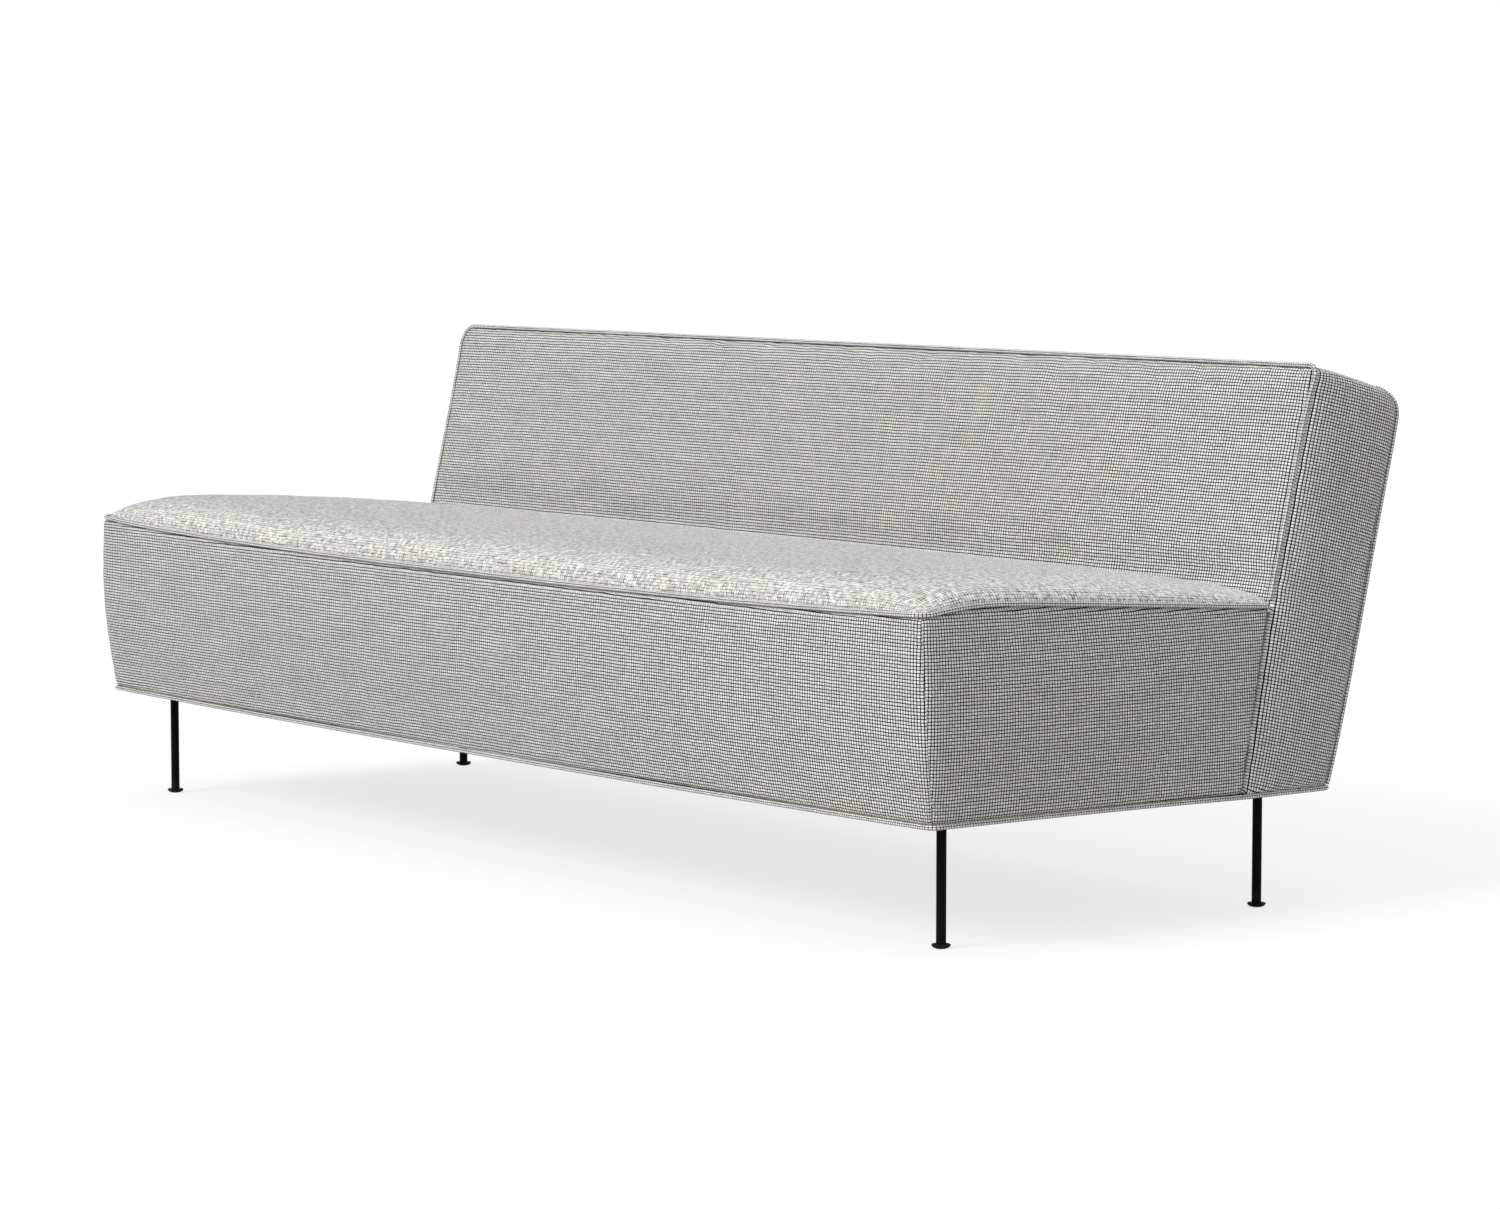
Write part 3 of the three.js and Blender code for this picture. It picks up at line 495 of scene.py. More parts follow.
# %% [markdown]
# ## Seat cover
#
# The top's threads run with the sofa, and the pull of its length spreads them: a
# thread takes up about an eighth more room along the sofa than across it. The walls'
# threads run level and upright, whatever the seams above and below them do. The rear
# wall and the floor can't be seen, but they close the piece, which the cushion needs
# when it is filled.

# %% Seat cover
top_stretch = (0.885, 1.0)
front_stretch = (0.885, 1.011)
end_stretch = (0.993, 1.011)
straight_up = np.array([0.0, 0.0, 1.0])

seat_panels = Panels()
top_grid = grid_of(seat_top_point, columns, seat_rows)
# The top is painted paler by the weave. This stands in for the dark ground that its raised dots hide at a
# flat angle.
seat_panels.add(top_grid, stretch=top_stretch, painted_top_paleness=1.0)
front_wall = grid_of(seat_wall_at(-1.0), columns, falls)
seat_panels.add(front_wall, flip=True, stretch=front_stretch, rise=straight_up)
for side in (-2.0, 2.0):
    end_wall = grid_of(lambda r, f: seat_wall_point(np.full_like(r, side), r, f), seat_rows, falls)
    seat_panels.add(end_wall, flip=side > 0, stretch=end_stretch, rise=straight_up)
rear_wall = grid_of(seat_wall_at(1.0), columns, falls)
seat_panels.add(rear_wall, hidden=True)
floor_panel = grid_of(seat_floor_point, columns, seat_rows)
seat_panels.add(floor_panel, flip=True, hidden=True)
seat_cover = seat_panels.sewn("seat_cushion_cover")
print("seat cover", len(seat_cover.data.vertices), "points")

# %% [markdown]
# ## Back cover
#
# The back has one front panel, one rear panel and one long strip between them. The
# strip is a single run of cloth, so its threads turn over the top corners with it. The
# threads of the front and of the strip are counted in the directions of the slab.

# %% Back cover
band_stretch = (1.02, 0.973)
face_stretch = (0.9, 1.0)
slab_up = np.array([0.0, math.sin(lean), math.cos(lean)])
slab_through = np.array([0.0, math.cos(lean), -math.sin(lean)])
back_rows = np.concatenate([spread(57, gather=0.6), 1 + corner_shares])
depths = spread(19, gather=0.75)


def back_end_grid(side):
    return grid_of(lambda r, q: back_edge_point(np.full_like(r, side), r, q), back_rows, depths)


back_panels = Panels()
front_face = grid_of(back_face_point, columns, back_rows)
back_panels.add(front_face, stretch=face_stretch, rise=slab_up)
rear_face = grid_of(back_rear_point, columns, back_rows)
back_panels.add(rear_face, flip=True, stretch=face_stretch)
top_strip = grid_of(lambda c, q: back_edge_point(c, np.full_like(c, 2.0), q), columns, depths)
band = np.concatenate([back_end_grid(-2.0), top_strip[1:-1], back_end_grid(2.0)[::-1]])
back_panels.add(band, stretch=band_stretch, rise=slab_through, phase=thread_pitch / 2)
foot_panel = grid_of(lambda c, q: back_edge_point(c, np.zeros_like(c), q), columns, depths)
back_panels.add(foot_panel, flip=True, hidden=True)
back_cover = back_panels.sewn("back_cushion_cover")
print("back cover", len(back_cover.data.vertices), "points")

# %% [markdown]
# ## Seam lines
#
# Welts and tucks both follow the seams. So each seam is first drawn as a line of
# points on the same surfaces, close enough together to turn the corners smoothly.

# %% Seam lines
fine = 400


def seam_line(point_at, columns, shares):
    columns, shares = np.broadcast_arrays(columns, shares)
    return placed(np.stack(point_at(columns * 1.0, shares * 1.0), axis=-1))


def round_three_sides(near, far):
    """Columns and rows that go up one end, along the sofa and down the other end."""
    up = np.linspace(near, far, fine)
    over = np.linspace(-2, 2, 2 * fine)
    end = np.full(fine, 2.0)
    return np.concatenate([-end, over, end]), np.concatenate([up, np.full(2 * fine, far), up[::-1]])


seat_top_seam = seam_line(seat_top_point, *round_three_sides(1.0, -1.0))
seat_foot_seam = seam_line(seat_floor_point, *round_three_sides(1.0, -1.0))
back_front_seam = seam_line(back_face_point, *round_three_sides(0.0, 2.0))
back_rear_seam = seam_line(back_rear_point, *round_three_sides(0.0, 2.0))
down = np.linspace(0, 1, fine)
corner_seams = [seam_line(seat_wall_at(-1.0), side, down) for side in (-2.0, 2.0)]
joint_seams = [seam_line(seat_wall_at(1.0), side, down) for side in (-2.0, 2.0)]
print("top seam of the seat", round(float(measured(seat_top_seam)[-1]), 3), "m")

# %% [markdown]
# ## The filled covers settle
#
# A formula gives a form that is too even. Real cloth is held at its seams and pushed
# out by what is inside, and the little spare cloth left over gathers beside the seams.
# Blender's Cloth does the same with pressure inside a closed piece. The seams are
# pinned, the foam behind the cloth is a weak pin on every other point, and the cloth
# is a touch larger than its place. The movement is scaled down to a few millimetres, so
# that the cover keeps its size, and the result is written into the mesh for good.

# %% Settle the covers
settle_frames = 20
most_of_points = 99
cloth_values = {
    "quality": 6,
    "mass": 0.4,
    "tension_stiffness": 25,
    "compression_stiffness": 25,
    "shear_stiffness": 10,
    "bending_stiffness": 1.0,
    "vertex_group_mass": "held",
    "pin_stiffness": 1.0,
    "use_pressure": True,
}


def vectors(items, field):
    flat = np.empty(len(items) * 3)
    items.foreach_get(field, flat)
    return flat.reshape(-1, 3)


def points_and_normals(mesh):
    return vectors(mesh.vertices, "co"), vectors(mesh.vertex_normals, "vector")


def reshape(mesh, points):
    mesh.vertices.foreach_set("co", points.reshape(-1))
    mesh.update()


def settle(piece, pressure, spare, foam_hold, reach):
    """Fills the sewn cover, lets it settle and keeps the shape."""
    mesh = piece.data
    start, outward = points_and_normals(mesh)
    held = np.empty(len(start))
    mesh.attributes["held"].data.foreach_get("value", held)
    group = piece.vertex_groups.new(name="held")
    group.add(np.flatnonzero(held > 0.5).tolist(), 1.0, "REPLACE")
    group.add(np.flatnonzero(held <= 0.5).tolist(), foam_hold, "REPLACE")
    cloth = piece.modifiers.new("cloth", "CLOTH")
    settings = cloth.settings
    for key, value in cloth_values.items():
        setattr(settings, key, value)
    settings.shrink_min = -spare
    settings.uniform_pressure_force = pressure
    settings.effector_weights.gravity = 0
    cloth.point_cache.frame_start = 1
    cloth.point_cache.frame_end = settle_frames
    for moment in range(1, settle_frames + 1):
        bpy.context.scene.frame_set(moment)
    filled = piece.evaluated_get(bpy.context.evaluated_depsgraph_get()).to_mesh()
    move = vectors(filled.vertices, "co") - start
    piece.modifiers.remove(cloth)
    piece.vertex_groups.remove(group)
    bpy.context.scene.frame_set(1)
    out = (move * outward).sum(axis=1)
    sideways = move - outward * out[:, None]
    share = min(1.0, reach / np.percentile(out, most_of_points))
    out = np.clip(out * share, -reach / 2, reach)
    size = np.maximum(np.linalg.norm(sideways, axis=1), sys.float_info.epsilon)
    sideways *= (np.minimum(size, reach / 2) / size)[:, None]
    reshape(mesh, start + outward * out[:, None] + sideways)
    print(piece.name, "moved out by", round(out.min() * 1000, 2), "to", round(out.max() * 1000, 2), "mm")


for piece, reach in ((seat_cover, 0.0025), (back_cover, 0.0030)):
    settle(piece, pressure=2.0, spare=0.006, foam_hold=0.15, reach=reach)

# %% [markdown]
# ## Tucks along the seams
#
# Where two panels meet without a welt the cloth turns inward, to be stitched behind
# the surface, and that narrow hollow draws a dark line. Each point near such a seam is
# drawn in against its own direction, most at the seam and hardly at all a centimetre
# away. The foot is tucked in the same way, just above its welt.

# %% Tucks
def tuck(piece, seams, depth, width):
    tree = KDTree(sum(len(seam) for seam in seams))
    for place, point in enumerate(np.concatenate(seams)):
        tree.insert(point, place)
    tree.balance()
    mesh = piece.data
    points, outward = points_and_normals(mesh)
    away = np.array([tree.find(point)[2] for point in points])
    drawn = depth * np.exp(-((away / width) ** 2))
    reshape(mesh, points - outward * drawn[:, None])
    print(piece.name, int((drawn > depth / 2).sum()), "points tucked", depth * 1000, "mm")


tuck(seat_cover, [seat_foot_seam], depth=0.0020, width=0.004)
tuck(seat_cover, corner_seams, depth=0.0014, width=0.003)
tuck(seat_cover, joint_seams, depth=0.0040, width=0.004)

# %% [markdown]
# ## Welts
#
# A welt is a cord in a folded strip of the same cloth, sewn into the seam. A curve
# with a round bevel would be quick, but a tube drawn ring by ring can carry a UV map
# in metres, and so the strip gets the same threads as the panels: five across its
# girth, of which two or three show. Each spoke of a ring points from the middle of the
# cord to one of its points.

# %% Tubes along a line
line_step = 0.002
ring_step = 0.004


def evenly(line, step, closed=False):
    if closed:
        line = np.vstack([line, line[:1]])
    along = measured(line)
    wanted = np.linspace(0, along[-1], round(along[-1] / step) + 1)
    even = np.stack([np.interp(wanted, along, line[:, axis]) for axis in range(3)], axis=1)
    return even[:-1] if closed else even


def runs(line, closed):
    if closed:
        steps = np.roll(line, -1, axis=0) - np.roll(line, 1, axis=0)
    else:
        steps = np.gradient(line, axis=0)
    return steps / np.linalg.norm(steps, axis=1)[:, None]


def moved_out(line, normal, out, ahead, closed=False):
    """Moves a line away from its own middle, and along the normal of its plane."""
    line = evenly(line, line_step, closed)
    outward = np.cross(normal, runs(line, closed))
    outward /= np.linalg.norm(outward, axis=1)[:, None]
    if np.sum(outward * (line - line.mean(axis=0))) < 0:
        outward = -outward
    return line + outward * out + np.array(normal) * ahead


# %% Welt maker
welt_radius = 0.00325
welt_reach = welt_radius + 0.0003
welt_tilt = math.radians(23)
settled_out = 0.0008
settled_up = 0.0004
welt_out = welt_reach * math.cos(welt_tilt) + settled_out
welt_up = welt_reach * math.sin(welt_tilt) + settled_up
welt_sides = 12
threads_round = 5
half_thread = 0.5


def ring_faces(first, second):
    """Quads between two rings of points, each given by the number of its first point."""
    for k in range(welt_sides):
        after = (k + 1) % welt_sides
        yield [first + k, first + after, second + after, second + k]


def welt(name, line, normal, closed=False):
    line = evenly(line, ring_step, closed)
    forward = runs(line, closed)
    over = normal - forward * (forward @ np.array(normal))[:, None]
    over /= np.linalg.norm(over, axis=1)[:, None]
    across = np.cross(forward, over)
    turn = np.arange(welt_sides) * 2 * np.pi / welt_sides
    spokes = np.cos(turn)[:, None] * over[:, None] + np.sin(turn)[:, None] * across[:, None]
    points = line[:, None] + welt_radius * spokes
    count = len(line)
    along = measured(np.vstack([line, line[:1]]))
    girth_v = (np.arange(welt_sides + 1) * threads_round / welt_sides + half_thread) * thread_pitch
    faces, uvs = [], []
    for n in range(count if closed else count - 1):
        faces.extend(ring_faces(n * welt_sides, (n + 1) % count * welt_sides))
        for k in range(welt_sides):
            v0, v1 = girth_v[k], girth_v[k + 1]
            uvs.extend([(along[n], v0), (along[n], v1), (along[n + 1], v1), (along[n + 1], v0)])
    if not closed:
        faces.append(list(range(welt_sides))[::-1])
        faces.append(list(range((count - 1) * welt_sides, count * welt_sides)))
        uvs.extend([(0.0, 0.0)] * 2 * welt_sides)
    print(name, round(float(along[count - 1]), 3), "m long,", count * welt_sides, "points")
    return new_piece(name, points.reshape(-1, 3), faces, uvs)


# %% [markdown]
# ## Four welts
#
# One welt goes round the top of the seat, one round each face of the back, and one
# right round the foot of both. Each lies just outside its seam, in the groove between
# the swelled panels. The front one of the back starts where the seat's top hides it.

# %% Welts of the seat and back
welt_start_z = 0.416
cord_out = 0.0030
rear_cord_out = 0.0026
cord_ahead = 0.0012

seat_line = moved_out(seat_top_seam, straight_up, welt_out, welt_up)
seat_welt = welt("seat_welt", seat_line[2:-2], straight_up)
above_seat = back_front_seam[back_front_seam[:, 2] >= welt_start_z]
front_line = moved_out(above_seat, -slab_through, cord_out, cord_ahead)
front_welt = welt("back_front_cord", front_line, -slab_through)
rear_line = moved_out(back_rear_seam, slab_through, rear_cord_out, cord_ahead)
rear_welt = welt("back_rear_cord", rear_line[rear_line[:, 2] > base_z], slab_through)

# %% Welt at the foot
foot_overhang = 0.0048
foot_gap = 0.0003
plan_depth = seat_depth + back_foot_depth


def rounded_plan(inset, steps=16):
    """The outline of the whole sofa's foot, counter-clockwise."""
    reach, radius = half_length - inset, seat_corner
    front = front_rake + inset
    rear = front_rake + plan_depth - inset
    middles = [
        (reach - radius, front + radius, -1),
        (reach - radius, rear - radius, 0),
        (radius - reach, rear - radius, 1),
        (radius - reach, front + radius, 2),
    ]
    return [
        (
            x + radius * math.cos((quarter + step / steps) * math.pi / 2),
            y + radius * math.sin((quarter + step / steps) * math.pi / 2),
        )
        for x, y, quarter in middles
        for step in range(steps + 1)
    ]


foot_z = base_z - foot_gap - welt_radius
foot_line = placed([(x, y, foot_z) for x, y in rounded_plan(-foot_overhang)])
foot_line = evenly(foot_line, ring_step, closed=True)
foot_v = (foot_line[:, 1] - front_y - front_rake) / seat_depth
foot_line[:, 2] += foot_lift(foot_line[:, 0] / half_length, foot_v)
foot_welt = welt("foot_cord", foot_line, straight_up, closed=True)

# %% [markdown]
# ## Cloth under the sofa
#
# A thin black cloth closes the underside and keeps dust out of the springs. It is
# stapled to the rails and sags a little between them. Its outline and the holes for
# the legs are joined with a loose grid of points by a triangulation, which a plain
# grid couldn't do round the holes.

# %% Dust cloth
dust_low, dust_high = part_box("dust_cover")
dust_inset = half_length - dust_high.x
dust_z = (dust_low.z + dust_high.z) / 2
dust_sag = 0.0012
dust_step = 0.03
ring_points = 24
cut_accuracy = 1e-6
leg_names = [f"leg_rod_{end}_{side}" for end in ("front", "rear") for side in ("left", "right")]
leg_places = [(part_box(name)[0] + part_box(name)[1]) / 2 for name in leg_names]
hole_clearance = 0.001
hole_radius = (leg_high.x - leg_low.x) / 2 + hole_clearance


def ring_of(middle, radius):
    turn = np.linspace(0, 2 * np.pi, ring_points, endpoint=False)
    return [(middle.x + radius * math.cos(t), middle.y + radius * math.sin(t)) for t in turn]


loops = [[(x, y + front_y) for x, y in rounded_plan(dust_inset)]]
loops += [ring_of(middle, hole_radius) for middle in leg_places]
flat_points = [Vector(point) for loop in loops for point in loop]
limits, first = [], 0
for loop in loops:
    limits += [(first + n, first + (n + 1) % len(loop)) for n in range(len(loop))]
    first += len(loop)
for x in np.arange(dust_low.x + dust_step / 2, dust_high.x, dust_step):
    for y in np.arange(dust_low.y + dust_step / 2, dust_high.y, dust_step):
        if all(math.dist((x, y), leg.xy) > dust_step / 2 for leg in leg_places):
            flat_points.append(Vector((x, y)))
cut_points, _, cut_faces, *_ = delaunay_2d_cdt(flat_points, limits, [], 1, cut_accuracy)


def over_hole(face):
    middle = sum((cut_points[n] for n in face), Vector((0, 0))) / len(face)
    return any(math.dist(middle, leg.xy) < hole_radius - cut_accuracy for leg in leg_places)


def dust_height(x, y):
    across = (y - dust_low.y) / (dust_high.y - dust_low.y)
    along = (x - dust_low.x) / (dust_high.x - dust_low.x)
    hang = abs(math.sin(2 * math.pi * along)) * math.sin(math.pi * across)
    return dust_z - dust_sag * hang + float(foot_lift(x / half_length, across)) / 2


dust_points = [(x, y, dust_height(x, y)) for x, y in cut_points]
dust_faces = [face for face in cut_faces if not over_hole(face)]
dust_cloth = new_piece("dust_cloth", dust_points, dust_faces)
print("dust cloth", len(dust_faces), "faces")

# %% [markdown]
# ## Staples
#
# Flat wire staples hold the dust cloth, one every few centimetres and a finger's width
# in from its edge. Only the crown of each shows, so each is one short rounded bar,
# and all of them share one mesh.

# %% Staples
staple_pitch = 0.045
staple_half = 0.005
staple_thick = 0.00045
staple_gap = 0.0001
staple_edge = 0.009
staple_ring_shares = ((-1.0, 0.5), (-0.9, 1.0), (0.9, 1.0), (1.0, 0.5))

edge_line = [(x, y + front_y) for x, y in rounded_plan(dust_inset + staple_edge)]
edge_line = np.array([(x, y, dust_height(x, y)) for x, y in edge_line])
staple_places = evenly(edge_line, staple_pitch, closed=True)
staple_runs = runs(staple_places, closed=True)
staple_points, staple_faces = [], []
for place, run in zip(staple_places, staple_runs):
    first = len(staple_points)
    side = np.cross(straight_up, run)
    for step, shrink in staple_ring_shares:
        middle = place + run * step * staple_half - straight_up * (staple_thick + staple_gap)
        for s, lift in ((-1, -shrink), (1, -shrink), (1, 1), (-1, 1)):
            staple_points.append(middle + staple_thick * (side * s * shrink + straight_up * lift))
    for ring in range(3):
        for k in range(4):
            a, b = first + ring * 4 + k, first + ring * 4 + (k + 1) % 4
            staple_faces.append([a, b, b + 4, a + 4])
    staple_faces.append([first + k for k in (3, 2, 1, 0)])
    staple_faces.append([first + k for k in (12, 13, 14, 15)])
staples = new_piece("dust_cloth_staples", staple_points, staple_faces, smooth=False)
print(len(staple_places), "staples")

# %% [markdown]
# ## Building a finish from nodes
#
# Every finish here is made of nodes, so that it holds up however near one looks. A few
# small helpers keep that readable: one starts a material, one adds a node with its
# settings and inputs, and the rest are short ways to the nodes that come most often. An
# input may be a plain value or the output of another node. Blender's noise seldom leaves
# the range from 0.3 to 0.7, so that is what is spread over the wanted range.

# %% Node helpers
noise_range = (0.3, 0.7)
halves = (0.5, 0.5, 0.5)


def new_finish(name, **shader_values):
    material = bpy.data.materials.new(name)
    material.use_nodes = True
    shader = material.node_tree.nodes["Principled BSDF"]
    for socket, value in shader_values.items():
        shader.inputs[socket.replace("_", " ")].default_value = value
    return material


def add_node(kind, inputs, tree=None, **settings):
    """A node joins the tree of the outputs that feed it, or the tree that is given."""
    tree = tree or next(v.id_data for v in inputs.values() if isinstance(v, bpy.types.NodeSocket))
    made = tree.nodes.new("ShaderNode" + kind)
    for key, value in settings.items():
        setattr(made, key, value)
    for key, value in inputs.items():
        if isinstance(value, bpy.types.NodeSocket):
            tree.links.new(value, made.inputs[key])
        else:
            made.inputs[key].default_value = value
    return made


def maths(operation, *values, kind="Math"):
    return add_node(kind, dict(enumerate(values)), operation=operation).outputs[0]


def vector_maths(operation, *values):
    return maths(operation, *values, kind="VectorMath")


def remap(value, low, high, to_low=0.0, to_high=1.0, kind="LINEAR"):
    inputs = {"Value": value, "From Min": low, "From Max": high, "To Min": to_low, "To Max": to_high}
    return add_node("MapRange", inputs, interpolation_type=kind).outputs[0]


def noise(place, scale, detail=2.0):
    return add_node("TexNoise", {"Vector": place, "Scale": scale, "Detail": detail}).outputs


def mixed(share, dark, light, blend="MIX"):
    inputs = {"Factor": share, "A": dark, "B": light}
    return add_node("Mix", inputs, data_type="RGBA", blend_type=blend).outputs["Result"]


def wire(material, **values):
    """Leads outputs to sockets of the material's shader."""
    shader = material.node_tree.nodes["Principled BSDF"]
    for socket, value in values.items():
        material.node_tree.links.new(value, shader.inputs[socket.replace("_", " ")])


def finish_surface(material, color, roughness, height, bump_depth, bump_strength):
    bump_inputs = {"Height": height, "Distance": bump_depth, "Strength": bump_strength}
    bump = add_node("Bump", bump_inputs).outputs[0]
    wire(material, Base_Color=color, Roughness=roughness, Normal=bump)


# %% [markdown]
# ## The weave
#
# The cloth is a coarse dotted weave: thick cream yarns cross in rows and columns over
# a near-black ground, and each crossing shows as a rounded square. A cosine along each
# thread direction gives a dot where both are high. Lengthwise and crosswise yarns take
# turns on top, so every other dot is a little taller and the ones between a little
# wider. The threads wander, each dot has its own tone, and slow streaks follow the
# yarns, as in any real bolt of cloth. On the seat's top the dots are spread unevenly
# over more of the ground, and its dimmest dots are a little dimmer. This paints the top
# paler: painted light, standing in for the raised dots that hide the dark ground when
# the top is seen at a flat angle. Only the yarns have a sheen, which shows at a flat
# angle.

# %% Weave
cream = (0.92, 0.905, 0.86, 1.0)
near_black = (0.004, 0.004, 0.005, 1.0)
edge_softness = 0.12
turn_shift = 0.12
wander_scale = 40.0
wander_reach = 0.0012
# Painted paleness of the seat's top: how far its dots spread, how unevenly they spread, and how much
# dimmer its dimmest dots may be.
painted_pale_spread = 0.31
painted_pale_mottle = 0.23
painted_pale_dimming = 0.20
patch_shares = (0.7, 0.55, 0.0)
streak_shares = (0.04, 0.9, 0.0)
dimmest_dot = 0.84
brightest_dot = 1.06
fibre_scale = 2600.0
yarn_sheen = 1.0


def woven(name, dot_edge):
    material = new_finish(name, Specular_IOR_Level=0.1, Sheen_Roughness=0.3)
    cloth = add_node("UVMap", {}, material.node_tree, uv_map="Cloth").outputs["UV"]
    drift = noise(cloth, wander_scale, detail=1.0)["Color"]
    centred = vector_maths("SUBTRACT", drift, halves)
    reach = (wander_reach, wander_reach, 0.0)
    wandered = vector_maths("MULTIPLY_ADD", centred, reach, cloth)
    threads = vector_maths("MULTIPLY", wandered, (1 / thread_pitch,) * 3)
    split = add_node("SeparateXYZ", {0: threads}).outputs
    turned = [maths("MULTIPLY", split[axis], 2 * math.pi) for axis in (0, 1)]
    waves = [maths("COSINE", angle) for angle in turned]
    nearest = vector_maths("ADD", threads, halves)
    cell = vector_maths("FLOOR", nearest)
    dot_tone = add_node("TexWhiteNoise", {"Vector": cell}).outputs["Value"]
    turns = add_node("TexChecker", {"Vector": nearest, "Scale": 1.0}).outputs["Fac"]
    shift = remap(turns, 0, 1, -turn_shift, turn_shift)
    shifted = [maths("ADD", waves[0], shift), maths("SUBTRACT", waves[1], shift)]
    # Painted paleness: on the seat's top the dots are spread over more of the dark ground.
    painted_top_paleness = add_node("Attribute", {}, material.node_tree, attribute_name="painted_top_paleness").outputs["Fac"]
    patches = vector_maths("MULTIPLY", threads, patch_shares)
    mottle = noise(patches, 1.0, detail=1.0)["Fac"]
    least, most = painted_pale_spread - painted_pale_mottle, painted_pale_spread + painted_pale_mottle
    uneven = remap(mottle, *noise_range, least, most)
    spread_out = maths("MULTIPLY", painted_top_paleness, uneven)
    raised = [maths("ADD", wave, spread_out) for wave in shifted]
    edges = (dot_edge - edge_softness, dot_edge + edge_softness)
    rounded = [remap(wave, *edges, kind="SMOOTHSTEP") for wave in raised]
    dot = maths("MULTIPLY", *rounded)
    along_rows = vector_maths("MULTIPLY", threads, streak_shares)
    streak = noise(along_rows, 1.0, detail=1.0)["Fac"]
    fibre = noise(cloth, fibre_scale)["Fac"]
    dimming = maths("MULTIPLY", painted_top_paleness, painted_pale_dimming)
    dimmest = maths("SUBTRACT", dimmest_dot, dimming)
    tones = [
        remap(turns, 0, 1, 0.95, 1.02),
        remap(streak, *noise_range, 0.86, 1.02),
        remap(fibre, *noise_range, 0.90, 1.04),
    ]
    tone = remap(dot_tone, 0, 1, dimmest, brightest_dot)
    for more in tones:
        tone = maths("MULTIPLY", tone, more)
    lit = mixed(1.0, cream, tone, "MULTIPLY")
    color = mixed(dot, near_black, lit)
    hill = maths("ADD", *waves)
    height = maths("ADD", hill, maths("MULTIPLY", fibre, 0.5))
    roughness = remap(dot, 0, 1, 0.95, 0.8)
    finish_surface(material, color, roughness, height, bump_depth=0.0003, bump_strength=0.8)
    wire(material, Sheen_Weight=maths("MULTIPLY", dot, yarn_sheen))
    return material


weave = woven("cream and black weave", dot_edge=-0.62)
# The cord's weave has larger dots than the panels', which paints it paler: painted light, so that the
# cord reads as a lit line where its face is in shade.
cord_weave_painted_paler = woven("weave on the cord, painted paler", dot_edge=-0.74)
print("weave of", round(1 / thread_pitch), "threads a metre")

# %% [markdown]
# ## Finishes inside and under the sofa
#
# The frame, springs and pads hardly show, but the sofa may be taken apart or seen from
# below, so each has what its real material shows: grain in the timber, cells in the
# foam, fibres in the felt, ribs in the webbing. They have no UV map, and object
# coordinates do as well, because nothing here moves or stretches.

# %% Timber and foam
def object_finish(name, stretch=(1.0, 1.0, 1.0), **shader_values):
    """A new finish, and the object coordinates that its textures are placed by."""
    material = new_finish(name, **shader_values)
    place = add_node("TexCoord", {}, material.node_tree).outputs["Object"]
    return material, add_node("Mapping", {"Vector": place, "Scale": stretch}).outputs[0]


def timber(name, stretch):
    dark_ring, pale_ring, pore_brown = (0.50, 0.32, 0.16, 1), (0.68, 0.49, 0.28, 1), (0.36, 0.22, 0.11, 1)
    material, place = object_finish(name, stretch, Specular_IOR_Level=0.3)
    rings = noise(place, scale=6.0, detail=3.0)["Fac"]
    lines = maths("SINE", maths("MULTIPLY", rings, 60.0))
    pores = noise(place, scale=90.0, detail=3.0)["Fac"]
    color = mixed(remap(lines, -1, 1), dark_ring, pale_ring)
    color = mixed(remap(pores, 0.35, 0.5), pore_brown, color)
    roughness = remap(pores, 0, 1, 0.75, 0.55)
    finish_surface(material, color, roughness, pores, bump_depth=0.0004, bump_strength=0.5)
    return material


def foam_block(name):
    fresh, aged, cell_shade = (0.86, 0.80, 0.58, 1), (0.80, 0.70, 0.42, 1), (0.55, 0.46, 0.24, 1)
    material, place = object_finish(name, Specular_IOR_Level=0.1)
    cells = add_node("TexVoronoi", {"Vector": place, "Scale": 700.0}).outputs["Distance"]
    age = noise(place, scale=5.0, detail=3.0)["Fac"]
    color = mixed(remap(age, *noise_range), aged, fresh)
    color = mixed(remap(cells, 0.0, 0.25), cell_shade, color)
    roughness = remap(cells, 0, 0.5, 0.85, 1.0)
    finish_surface(material, color, roughness, cells, bump_depth=0.0006, bump_strength=0.7)
    return material


# %% Felt, webbing and dust cloth
def fibre_cloth(name, dark, light, scale):
    """Pressed fibres without a weave, for the felt and the dust cloth."""
    material, place = object_finish(name, Specular_IOR_Level=0.1, Sheen_Weight=0.1)
    fibres = noise(place, scale, detail=4.0)["Fac"]
    clumps = noise(place, scale / 12)["Fac"]
    share = maths("MULTIPLY_ADD", fibres, 0.6, maths("MULTIPLY", clumps, 0.4))
    color = mixed(remap(share, 0.35, 0.65), dark, light)
    roughness = remap(fibres, 0, 1, 0.8, 1.0)
    finish_surface(material, color, roughness, fibres, bump_depth=0.0005, bump_strength=0.6)
    return material


